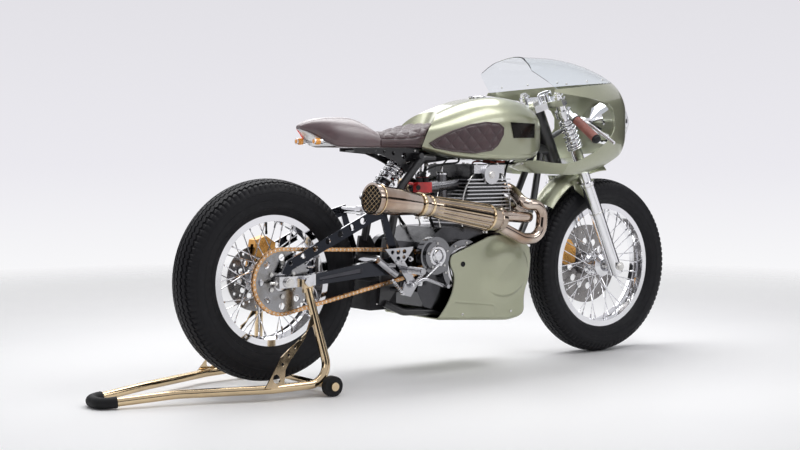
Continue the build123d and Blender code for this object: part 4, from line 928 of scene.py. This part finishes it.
# Instrument: face, marks, hand and bezel
DIAL_MARKS = 28
FACE_HIGH = 14.6
dial_base = leg_point(UPPER_YOKE_S + YOKE_T, 0, 20)
dial = Heap()
dial.rod(dial_base, FORK_WAY, 23, 14.2, FACE_HIGH, 40)
piece("dial_plate", dial, dial_face, "steering")
marks = Heap()
for index in range(DIAL_MARKS):
    turn = math.radians(-225 + 270 * index / (DIAL_MARKS - 1))
    out = AHEAD_WAY * math.sin(turn) + Vector((0, 1, 0)) * math.cos(turn)
    near = 17.5 if index % 3 == 0 else 19.5
    base = dial_base + FORK_WAY * (14.9 * MM)
    marks.tube([base + out * (near * MM), base + out * (22 * MM)], 0.35, 4)
hand_way = (AHEAD_WAY * -0.6 + Vector((0, 1, 0)) * 0.8).normalized()
base = dial_base + FORK_WAY * (15.6 * MM)
marks.tube([base - hand_way * (4 * MM), base + hand_way * (17 * MM)], 0.6, 6)
marks.rod(dial_base, FORK_WAY, 2.4, FACE_HIGH, 16.4, 16)
piece("dial_marks", marks, white_gloss, "steering")
bezel = Heap()
bezel.lathe(dial_base, FORK_WAY,
            [(26.2, 8), (27.4, 9), (27.4, 17), (25.6, 18.4), (23.2, 17.4), (23.2, 14.2)], 48)
piece("dial_bezel", bezel, chrome, "steering")

# Headlamp: bulb and rim ring
lamp = Heap()
lamp.lathe(at(1520, 0, LAMP_Z), (1, 0, 0),
           [(0, -30), (16, -30), (16, -8), (9, -4), (9, 22), (6, 30), (0, 32)], 24)
piece("headlamp_bulb", lamp, white_gloss, "chassis")
ring = Heap()
ring.lathe(at(1592, 0, LAMP_Z), (1, 0, 0),
           [(83, -2), (89.0, -2), (89.6, 4), (88, 9.5), (84, 10), (82, 6)], 72)
piece("headlamp_rim", ring, chrome, "chassis")

# Tail: amber lenses, a white underside panel whose colour is painted reflection of the pale floor, and a
# thin red light strip along the left rim
lenses = Heap()
for side in SIDES:
    lenses.lathe(at(150.5, side * 54, 821), (1, 0, 0),
                 [(0, 0), (6, 0.3), (10.5, 3), (11.6, 8), (11.6, 24), (0, 24)], 28)
piece("tail_lamp_lenses", lenses, amber_glass, "chassis")
UNDERSIDE = [
    # x, half width, height of the lower edge
    (126, 16, 862), (150, 34, 851), (182, 62, 830), (222, 86, 806),
]
# Painted reflection: the underside below the hump's tip is white gloss, standing in for the pale floor it
# reflects.
panel = Heap()
panel.grid([[at(x, share * (half - 7), low - 0.8 + 1.2 * share * share) for share in np.linspace(-1, 1, 9)]
            for x, half, low in UNDERSIDE], flip=True)
made = piece("tail_underside_painted_reflection", panel, white_gloss, "chassis")
thick = made.modifiers.new("thickness", "SOLIDIFY")
thick.thickness = 1.2 * MM
thick.offset = 0.0
STRIP = [
    # x, half width, height of the lower edge
    (128, 14, 862), (150, 33, 851), (166, 47, 841), (184, 60, 830), (204, 66, 820),
]
strip = Heap()
strip.tube([at(x, half - 3, low - 1.5) for x, half, low in STRIP], 1.5)
piece("tail_light_strip", strip, red_light, "chassis")

# Screws on the fairing, screen, fender, tray and seat rails, set on the surface
trees = {}


def tree_of(mesh):
    return BVHTree.FromPolygons([vertex.co.copy() for vertex in mesh.vertices],
                                [tuple(face.vertices) for face in mesh.polygons])


def on_surface(node, x, side, z):
    """Where a line from one side meets a CAD node, and the surface's normal there."""
    if node not in trees:
        trees[node] = tree_of(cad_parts[node].data)
    way = Vector((0, -side, 0))
    place, normal, _, _ = trees[node].ray_cast(at(x, side * 400, z), way)
    if place is None:
        return None, None
    return place, -normal if normal.dot(way) > 0 else normal


SCREWS = {
    # body: node, x, z, radius
    "chassis": [
        ("fairing", 1050, 744, 5.0), ("windscreen", 1180, 1036, 3.6), ("windscreen", 1300, 1049, 3.6),
        ("windscreen", 1420, 1060, 3.6), ("battery_tray", 400, 320, 4.0), ("battery_tray", 400, 262, 4.0),
        ("seat_rails", 580, 790, 4.0), ("seat_rails", 575, 730, 4.0),
    ],
    "steering": [("front_fender", 1345, 668, 4.0), ("front_fender", 1420, 690, 4.0)],
}
for body, rows in SCREWS.items():
    skin_screws = Heap()
    for node, x, z, radius in rows:
        for side in SIDES:
            place, normal = on_surface(node, x, side, z)
            if place is not None:
                skin_screws.socket_screw(place, normal, radius)
    piece(f"{body}_panel_screws", skin_screws, steel_bolt, body)


# Hoses, cables and oil lines between the engine, the frame and the bars
def curve_through(rows, steps=9):
    """A smooth line of points through rows of x, y, z on the drawing."""
    knots = [Vector(row) for row in rows]
    knots = [knots[0] * 2 - knots[1]] + knots + [knots[-1] * 2 - knots[-2]]
    line = []
    for before, start, end, after in zip(knots, knots[1:], knots[2:], knots[3:]):
        second = 2 * before - 5 * start + 4 * end - after
        third = 3 * start - before - 3 * end + after
        for step in range(steps):
            t = step / steps
            line.append(at(*(0.5 * (2 * start + (end - before) * t + second * t * t + third * t ** 3))))
    line.append(at(*knots[-2]))
    return line


HOSES = [
    # radius, line
    (2.6, [(690, -62, 722), (700, -60, 745), (760, -50, 772), (880, -44, 768), (1010, -40, 742),
           (1078, -38, 768)]),
    (5.5, [(640, -84, 512), (612, -92, 556), (588, -80, 612), (604, -58, 668), (640, -36, 742)]),
    (4.0, [(968, -48, 470), (986, -64, 548), (978, -62, 636), (1000, -50, 716), (1030, -40, 764)]),
    (3.0, [(540, -52, 748), (620, -66, 762), (700, -74, 760), (790, -70, 770), (870, -60, 768)]),
    (3.4, [(560, -88, 690), (600, -98, 726), (668, -92, 742), (742, -84, 748), (772, -60, 766)]),
]
OIL_LINES = [
    (3.2, [(742, -120, 494), (728, -128, 556), (738, -128, 634), (770, -124, 690), (806, -118, 716)]),
    (3.2, [(930, -112, 486), (966, -112, 560), (962, -112, 640), (930, -118, 700), (900, -122, 722)]),
    (2.4, [(660, -98, 470), (640, -118, 520), (628, -112, 590), (650, -90, 640), (676, -70, 664)]),
]
hoses = Heap()
oil_lines = Heap()
line_nuts = Heap()
for heap, rows in ((hoses, HOSES), (oil_lines, OIL_LINES)):
    for radius, line in rows:
        nut = radius + 2.4
        step = radius + 1.4
        profile = [(0, -2), (nut, -2), (nut, 6), (step, 7), (step, 12), (0, 12)]
        for sign in (1, -1):
            points = curve_through([(x, sign * y, z) for x, y, z in line])
            heap.tube(points, radius)
            for end, other in ((points[0], points[1]), (points[-1], points[-2])):
                line_nuts.lathe(end, other - end, profile, 6)
piece("engine_hoses", hoses, soft_rubber, "chassis")
piece("engine_oil_lines", oil_lines, steel_bolt, "chassis")
piece("engine_line_nuts", line_nuts, steel_bolt, "chassis")
brake_line = Heap()
brake_line.tube([leg_point(s, 68, 22 + 5 * math.sin(s / 60)) for s in range(90, 470, 12)], 2.4, 8)
piece("front_brake_line", brake_line, soft_rubber, "steering")


# Tank: a folded seam along the lower edge, filler cap and hinge
def read_off(rows, x, column):
    """A column's value at x, between the rows."""
    return np.interp(x, [row[0] for row in rows], [row[column] for row in rows])


TANK_LOW = [
    # x, height of the lower edge
    (556, 801), (640, 783), (730, 764), (830, 757), (940, 755), (1040, 758), (1110, 772), (1146, 798),
]
SEAM_UP = 17
seam = Heap()
for side in SIDES:
    places = [on_surface("fuel_tank", x, side, float(read_off(TANK_LOW, x, 1)) + SEAM_UP)[0]
              for x in range(606, 1122, 12)]
    seam.tube([place for place in places if place is not None], 2.0, 8)
piece("tank_seam", seam, green, "chassis")
CAP_X = 905
CAP_Z = 986
cap = Heap()
cap.lathe(at(CAP_X, 0, CAP_Z), (0, 0, 1), [(0, -6), (31, -6), (32, -2), (32, 2), (29, 4), (25, 4), (24, 2.5),
                                           (22, 2.5), (21, 5), (8, 6.5), (0, 6.8)], 48)
cap.rod(at(CAP_X - 32, 0, CAP_Z), (0, 1, 0), 4, -9, 9, 14)
for turn in turns(6):
    cap.socket_screw(at(CAP_X + 27 * math.cos(turn), 27 * math.sin(turn), CAP_Z + 3.5), (0, 0, 1), 1.8)
piece("filler_cap", cap, chrome, "chassis")


# Belly pan: one smooth shell, with a soft bulge, a crisp crease below it and rolled corners
PAN = [(589, 200), (633, 251), (660, 302), (669, 354), (646, 394), (646, 422), (737, 454), (833, 489),
       (900, 490), (995, 458), (1030, 427), (1030, 396), (1021, 323), (1009, 297), (999, 272), (997, 230),
       (1001, 204), (980, 187), (918, 177)]
PAN_HALF = 166.0
PAN_WALL = 4.0
PAN_MIDDLE = (850.0, 330.0)
FIRST_CLOSED = 10
ROLL = 15.0
ROLL_OPEN = 4.0
BULGE_AT = (893.0, 368.0)
BULGE_REACH = (112.0, 104.0)
BULGE_HIGH = 13.0
STEP_HIGH = 7.0
CREASE = [(672, 260), (736, 252), (805, 244), (848, 238), (856, 226), (848, 200), (838, 182)]
CREASE_DEPTH = 1.8
CREASE_WIDE = 2.6
EDGE_STEP = 6.0
PAN_RINGS = 56
RIM_BLUR = 3
WRAP_STEPS = 10


def line_distance(spots, line):
    """How far each spot lies from a line of points."""
    best = np.full(len(spots), 1e9)
    for start, end in zip(line, line[1:]):
        start = np.array(start, float)
        way = np.array(end, float) - start
        share = np.clip(((spots - start) @ way) / (way @ way), 0, 1)
        best = np.minimum(best, np.linalg.norm(spots - start - share[:, None] * way, axis=1))
    return best


def eased(value, low, high):
    share = np.clip((value - low) / (high - low), 0, 1)
    return share * share * (3 - 2 * share)


def pan_side(spots):
    """Half the pan's width at each spot of the side view."""
    across, up = ((spots - BULGE_AT) / BULGE_REACH).T
    reach = np.hypot(across, up)
    lower_front = np.clip((across - up) / 1.2, 0, 1)
    soft = BULGE_HIGH * (0.5 + 0.5 * np.cos(math.pi * np.clip((reach - 0.4) / 0.85, 0, 1)))
    crisp = STEP_HIGH * lower_front * (1 - eased(reach, 0.95, 0.99))
    groove = -CREASE_DEPTH * np.exp(-((line_distance(spots, CREASE) / CREASE_WIDE) ** 2))
    half = PAN_HALF + soft + crisp + groove
    for line, roll in ((closed_line, ROLL), (opened_line, ROLL_OPEN)):
        inner = np.clip(roll - line_distance(spots, line), 0, roll)
        half = half - (roll - np.sqrt(roll * roll - inner * inner))
    return half


rim = []
closed_from = 0
for index, (start, end) in enumerate(zip(PAN, PAN[1:] + PAN[:1])):
    start = np.array(start, float)
    end = np.array(end, float)
    if index == FIRST_CLOSED:
        closed_from = len(rim)
    pieces = max(1, int(np.linalg.norm(end - start) / EDGE_STEP))
    rim += [start + (end - start) * step / pieces for step in range(pieces)]
rim = sum(np.roll(rim, shift, axis=0) for shift in range(-RIM_BLUR, RIM_BLUR + 1)) / (2 * RIM_BLUR + 1)
round_count = len(rim)
closed_line = [tuple(spot) for spot in rim[closed_from:]] + [tuple(rim[0])]
opened_line = [tuple(spot) for spot in rim[: closed_from + 1]]
middle = np.array(PAN_MIDDLE)
shares = [1 - (1 - ring / PAN_RINGS) ** 1.5 for ring in range(1, PAN_RINGS + 1)]
spots = np.concatenate([[middle]] + [middle + (rim - middle) * share for share in shares])
halves = pan_side(spots)
pan_shell = Heap()
for side in SIDES:
    faces = []
    for index in range(round_count):
        after = (index + 1) % round_count
        faces.append((0, 1 + index, 1 + after)[::side])
        for ring in range(PAN_RINGS - 1):
            low = 1 + ring * round_count
            high = low + round_count
            faces.append((low + index, high + index, high + after, low + after)[::side])
    pan_shell.add([at(x, side * half, z) for (x, z), half in zip(spots, halves)], faces)
wrap = [(x, z, half) for (x, z), half in zip(rim, pan_side(rim))]
wrap = wrap[closed_from:] + wrap[:1]
pan_shell.grid([[at(x, half * (1 - 2 * step / WRAP_STEPS), z) for step in range(WRAP_STEPS + 1)]
                for x, z, half in wrap], flip=True)
shell = piece("belly_pan_shell", pan_shell, green, "chassis", 40.0)
form = bmesh.new()
form.from_mesh(shell.data)
bmesh.ops.remove_doubles(form, verts=form.verts, dist=0.05 * MM)
bmesh.ops.recalc_face_normals(form, faces=form.faces)
lowest = min(form.faces, key=lambda face: face.calc_center_median().z)
if lowest.normal.z > 0:
    bmesh.ops.reverse_faces(form, faces=form.faces)
form.to_mesh(shell.data)
form.free()
shell.data.shade_smooth()
shell.data.set_sharp_from_angle(angle=math.radians(50))
wall = shell.modifiers.new("wall", "SOLIDIFY")
wall.thickness = PAN_WALL * MM
wall.offset = -1.0
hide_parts("belly_pan")

PAN_SCREWS = [(700, 214), (925, 211)]
GROMMET = (704.0, 391.0)
bosses = Heap()
grommets = Heap()
for side in SIDES:
    way = (0, side, 0)
    for x, z in PAN_SCREWS:
        bosses.rod(at(x, side * 112, z), way, 6, 0, 52, 20)
        half = float(pan_side(np.array([[x, z]], float))[0])
        bosses.socket_screw(at(x, side * half, z), way, 4.5)
    # Painted shade: each grommet's middle is a flat black face where the shade in its hole would be; the
    # rubber ring itself is real.
    half = float(pan_side(np.array([GROMMET]))[0])
    grommets.lathe(at(GROMMET[0], side * half, GROMMET[1]), way,
                   [(0, -1), (9.5, -1), (9.5, 1.4), (8, 2), (6.5, 1.4), (6.5, 0.3), (0, 0.3)], 28)
piece("belly_pan_bosses", bosses, steel_bolt, "chassis")
piece("belly_pan_grommets", grommets, soft_rubber, "chassis")


# Leather: the seat pad, hump and knee pads are remeshed and shaped; the seat pad and knee pads are also
# quilted and stuffed, and the seat pad is stitched
def numbers(items, name, width=3):
    """One property of a mesh's items, a row each."""
    values = np.zeros(len(items) * width, np.int64 if name == "vertices" else float)
    items.foreach_get(name, values)
    return values.reshape(-1, width)


def move_points(mesh, points):
    mesh.vertices.foreach_set("co", points.ravel())
    mesh.update()


def drawn(points):
    """Places in metres as places on the drawing."""
    return points / MM + (X_MID, 0.0, 0.0)


def smoothed(points, mesh, rounds):
    first, second = numbers(mesh.edges, "vertices", 2).T
    count = np.bincount(np.concatenate([first, second]), minlength=len(points)).astype(float)[:, None]
    for _ in range(rounds):
        total = np.zeros_like(points)
        np.add.at(total, first, points[second])
        np.add.at(total, second, points[first])
        points = points + 0.5 * (total / count - points)
    return points


def upholstered(name, node, look, voxel, rounds, cover):
    """A remeshed copy of a soft solid, smoothed, then shaped by cover."""
    made = bpy.data.objects.new(name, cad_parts[node].data.copy())
    scene.collection.objects.link(made)
    remesh = made.modifiers.new("even", "REMESH")
    remesh.mode = "VOXEL"
    remesh.voxel_size = voxel * MM
    depsgraph = bpy.context.evaluated_depsgraph_get()
    fine = bpy.data.meshes.new_from_object(made.evaluated_get(depsgraph))
    made.modifiers.clear()
    made.data = fine
    points = smoothed(numbers(fine.vertices, "co"), fine, rounds)
    move_points(fine, points)
    normals = numbers(fine.vertex_normals, "vector")
    lift = cover(drawn(points), normals)
    move_points(fine, points + normals * (lift * MM)[:, None])
    fine.shade_smooth()
    fine.materials.clear()
    fine.materials.append(look.material)
    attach(made, "chassis")
    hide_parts(node)
    return made


DIAMOND_LONG = 53.0
DIAMOND_HIGH = 58.0
SEAM_HALF = 0.35
SEAT = [
    # x, height of the top
    (392, 853), (440, 853), (486, 854), (522, 859), (559, 870), (600, 880), (633, 886), (700, 888),
]
HUMP_LOW = [
    # x, height of the lower edge
    (126, 862), (150, 851), (182, 830), (222, 806), (289, 800), (392, 800),
]
KNEE = [(604, 816), (640, 838), (690, 862), (760, 884), (826, 894), (884, 890), (908, 874), (906, 846),
        (880, 808), (852, 790), (780, 780), (690, 786), (624, 798)]
QUILT_FROM = 0.56
SEAT_PUFF = 5.0
SEAT_SEAM = 3.0
KNEE_PUFF = 3.6
KNEE_SEAM = 2.4


def pillows(forward, aside):
    """0 along the sewn lines of a diamond quilt, 1 in the middle of each diamond."""
    u = forward / DIAMOND_LONG + aside / DIAMOND_HIGH
    v = forward / DIAMOND_LONG - aside / DIAMOND_HIGH
    return np.sqrt(np.abs(np.sin(math.pi * u) * np.sin(math.pi * v)))


def seat_places(points):
    """Height from 0 at the pad's base to 1 at its top, and the quilt."""
    x, y, z = points.T
    top = read_off(SEAT, x, 1)
    height = (z - SEAT_BASE_Z) / (top - SEAT_BASE_Z)
    return height, pillows(x - 400, np.abs(y) + 0.55 * (top - z))


def knee_places(points):
    """Distance from the knee pad's edge, and the quilt."""
    x, _, z = points.T
    return line_distance(points[:, [0, 2]], KNEE + KNEE[:1]), pillows(x - 604, z - 786)


def seat_cover(points, normals):
    x, _, z = points.T
    height, quilt = seat_places(points)
    zone = np.clip((height - QUILT_FROM) / 0.05, 0, 1) * np.clip((x - 404) / 6, 0, 1)
    border = -2.6 * np.exp(-(((height - QUILT_FROM) / 0.035) ** 2))
    band = 1.2 * np.sin(np.clip((height - 0.05) / (QUILT_FROM - 0.05), 0, 1) * math.pi)
    back = 5.0 * np.clip(-2.0 * normals[:, 0] - 0.5, 0, 1) * np.clip((410 - x) / 8, 0, 1)
    base = -2.0 * np.exp(-(((z - SEAT_BASE_Z - 8) / 3.0) ** 2))
    below = np.clip((z - SEAT_BASE_Z - 2) / 6, 0, 1)
    return (zone * (quilt * SEAT_PUFF - SEAT_SEAM) + (1 - zone) * band + border + back + base) * below


def hump_cover(points, normals):
    x, _, z = points.T
    low = read_off(HUMP_LOW, x, 1)
    rim = -1.4 * np.exp(-(((z - low - 10) / 2.5) ** 2)) * np.clip((x - 150) / 20, 0, 1)
    front = 3.0 * np.clip(2.0 * normals[:, 0] - 0.6, 0, 1) * np.clip((x - 378) / 8, 0, 1)
    return (rim + front) * np.clip(normals[:, 2] * 2 + 1.4, 0, 1)


def knee_cover(points, normals):
    outward = np.clip(normals[:, 1] * np.sign(points[:, 1]) * 2.5, 0, 1)
    gap, quilt = knee_places(points)
    inner = np.clip((gap - 5) / 5, 0, 1)
    rim = -2.2 * np.exp(-(((gap - 6) / 1.8) ** 2))
    return ((quilt * KNEE_PUFF - KNEE_SEAM) * inner + rim) * outward


CLOTH = {
    "quality": 4, "mass": 0.15, "tension_stiffness": 5.0, "compression_stiffness": 5.0,
    "shear_stiffness": 2.0, "bending_stiffness": 0.05, "use_pressure": True, "vertex_group_mass": "sewn",
}
CLOTH_FRAMES = 18
HOLD_LEVELS = 10


def stuffed(made, places, quilted_from, pressure, cap):
    """Cloth under pressure, held along the sewn lines, so that the hide swells and puckers between them."""
    mesh = made.data
    before = numbers(mesh.vertices, "co")
    inside, quilt = places(drawn(before))
    sewn = np.where(inside > quilted_from, np.clip(1.2 - quilt / SEAM_HALF, 0, 1), 1.0)
    group = made.vertex_groups.new(name="sewn")
    for level in range(1, HOLD_LEVELS + 1):
        chosen = np.flatnonzero(np.round(sewn * HOLD_LEVELS) == level)
        if len(chosen):
            group.add([int(index) for index in chosen], level / HOLD_LEVELS, "REPLACE")
    cloth = made.modifiers.new("stuffing", "CLOTH")
    for name, value in CLOTH.items():
        setattr(cloth.settings, name, value)
    cloth.settings.uniform_pressure_force = pressure
    cloth.settings.effector_weights.gravity = 0.0
    cloth.collision_settings.use_collision = False
    for index in range(1, CLOTH_FRAMES + 1):
        scene.frame_set(index)
    swollen = made.evaluated_get(bpy.context.evaluated_depsgraph_get())
    moved = numbers(swollen.to_mesh().vertices, "co") - before
    swollen.to_mesh_clear()
    made.modifiers.remove(cloth)
    made.vertex_groups.clear()
    scene.frame_set(1)
    length = np.linalg.norm(moved, axis=1)
    moved = moved * np.minimum(1.0, cap * MM / np.maximum(length, 1e-9))[:, None]
    move_points(mesh, before + moved)


seat = upholstered("quilted_seat", "seat_pad", quilt_hide, 2.6, 6, seat_cover)
hump = upholstered("leather_hump", "seat_tail", hide, 2.8, 8, hump_cover)
knees = upholstered("quilted_knee_pads", "knee_pads", quilt_hide, 1.8, 3, knee_cover)
stuffed(seat, seat_places, QUILT_FROM + 0.04, 700.0, 3.0)
stuffed(knees, knee_places, 8, 300.0, 2.0)

# Stitches beside the seams of the pad
STITCH_STEP = 6.5
stitches = Heap()
seat_tree = tree_of(seat.data)
half = Vector((2.0 * MM, 0, 0))
for side in SIDES:
    for x in np.arange(402.0, 592.0, STITCH_STEP):
        top = float(read_off(SEAT, x, 1))
        for share in (QUILT_FROM - 0.09, QUILT_FROM + 0.07):
            z = SEAT_BASE_Z + share * (top - SEAT_BASE_Z)
            place, normal, _, _ = seat_tree.ray_cast(at(x, side * 300, z), Vector((0, -side, 0)))
            if place is not None:
                lift = normal * (0.25 * MM)
                stitches.tube([place - half - lift, place - half * 0.6 + lift, place + half * 0.6 + lift,
                               place + half - lift], 0.55, 6)
piece("seat_stitches", stitches, thread, "chassis")

# Camera
camera_data = bpy.data.cameras.new("Camera")
camera_data.sensor_width = 36.0
camera_data.lens = 62.9
camera = bpy.data.objects.new("Camera", camera_data)
camera.location = (-3.007, -3.980, 0.782)
camera.rotation_euler = (math.radians(90 - 2.95), 0.0, math.radians(53.51 - 90))
scene.collection.objects.link(camera)
scene.camera = camera

# World: a pale backdrop for the camera, gloss and glass, and an even light for the rest
SKY = [
    # height from straight down at 0 to straight up at 1, colour
    (0.0, (0.96, 0.96, 0.965)), (0.455, (0.95, 0.95, 0.96)), (0.495, (0.83, 0.82, 0.865)),
    (0.56, (0.76, 0.75, 0.79)), (0.8, (0.62, 0.62, 0.65)),
]
SKY_LIGHT = (0.33, 0.33, 0.345, 1.0)
world = bpy.data.worlds.new("Studio")
scene.world = world
world.use_nodes = True
sky = Nodes(world.node_tree)
height = sky.add("SeparateXYZ", {0: sky.add("TexCoord", {}, "Generated")}, "Z")
backdrop = sky.add("ValToRGB", {0: sky.spread(height, -1.0, 1.0)})
stops = backdrop.node.color_ramp.elements
for index, (position, colour) in enumerate(SKY):
    stop = stops[index] if index < 2 else stops.new(position)
    stop.position = position
    stop.color = (*colour, 1.0)
rays = sky.add("LightPath", {}).node.outputs
seen = rays["Is Camera Ray"]
for name in ("Is Glossy Ray", "Is Transmission Ray"):
    seen = sky.calc("MAXIMUM", seen, rays[name])
background = sky.nodes["Background"]
sky.put(sky.mixed(seen, SKY_LIGHT, backdrop), background.inputs["Color"])
background.inputs["Strength"].default_value = 1.0


# Studio: a pale floor that fades into the backdrop, soft lamps and dark cards that only reflections see
def staged(name, wide, high, look):
    """A flat sheet that isn't part of the object."""
    mesh = bpy.data.meshes.new(name)
    corners = [(-wide, -high, 0), (wide, -high, 0), (wide, high, 0), (-wide, high, 0)]
    mesh.from_pydata(corners, [], [(0, 1, 2, 3)])
    mesh.materials.append(look.material)
    made = bpy.data.objects.new(name, mesh)
    scene.collection.objects.link(made)
    return made


def aim(made, place, target):
    made.location = place
    made.rotation_euler = (Vector(target) - Vector(place)).to_track_quat("-Z", "Y").to_euler()


floor_look = Look("studio_floor", (0.97, 0.97, 0.972), 0.5).tint((0.955, 0.955, 0.96), 1.5)
distance = floor_look.add("VectorMath", {0: floor_look.place}, "Value", operation="LENGTH")
floor_look.shade({"Specular IOR Level": 0.2, "Alpha": floor_look.spread(distance, 1.9, 5.2, 1.0, 0.0)})
staged("floor", 14.0, 14.0, floor_look)

LAMPS = [
    # name, place, what it faces, width and height, power
    ("overhead", (0.1, 0.8, 2.9), (0.0, 0.0, 0.4), (3.8, 1.6), 70.0),
    ("behind", (0.6, 3.4, 2.0), (0.1, 0.0, 0.5), (3.2, 1.2), 19.0),
    ("over_camera_side", (0.7, -1.3, 2.5), (-0.2, 0.0, 0.8), (1.8, 0.8), 18.0),
    ("left_of_camera", (-4.4, -1.4, 2.3), (-0.2, 0.0, 0.5), (1.6, 1.2), 8.0),
    ("right_of_camera", (2.4, -3.4, 2.3), (0.3, 0.0, 0.5), (1.6, 1.0), 14.0),
]
for name, place, target, size, power in LAMPS:
    data = bpy.data.lights.new(name, "AREA")
    data.shape = "RECTANGLE"
    data.size, data.size_y = size
    data.energy = power
    item = bpy.data.objects.new(name, data)
    aim(item, place, target)
    scene.collection.objects.link(item)

CARDS = [
    # name, place, what it faces, half its width and height
    ("card_behind_camera", (-3.0, -5.2, 1.55), (0, 0, 0.9), (2.6, 1.05)),
    ("card_right_of_camera", (2.9, -3.9, 1.55), (0.2, 0, 0.9), (1.9, 0.6)),
    ("card_rear", (-5.0, 0.6, 1.2), (0, 0, 0.6), (1.8, 1.0)),
    ("card_front", (4.8, 0.2, 1.1), (0, 0, 0.6), (1.6, 1.0)),
    ("card_far_side", (0.2, 4.4, 0.9), (0, 0, 0.6), (2.6, 0.7)),
]
card_look = Look("dark_card", (0.02, 0.02, 0.022), 0.9).tint((0.03, 0.03, 0.032), 3.0)
for name, place, target, size in CARDS:
    card = staged(name, *size, card_look)
    aim(card, place, target)
    for ray in ("camera", "diffuse", "shadow", "transmission"):
        setattr(card, f"visible_{ray}", False)

scene.view_settings.view_transform = "Standard"
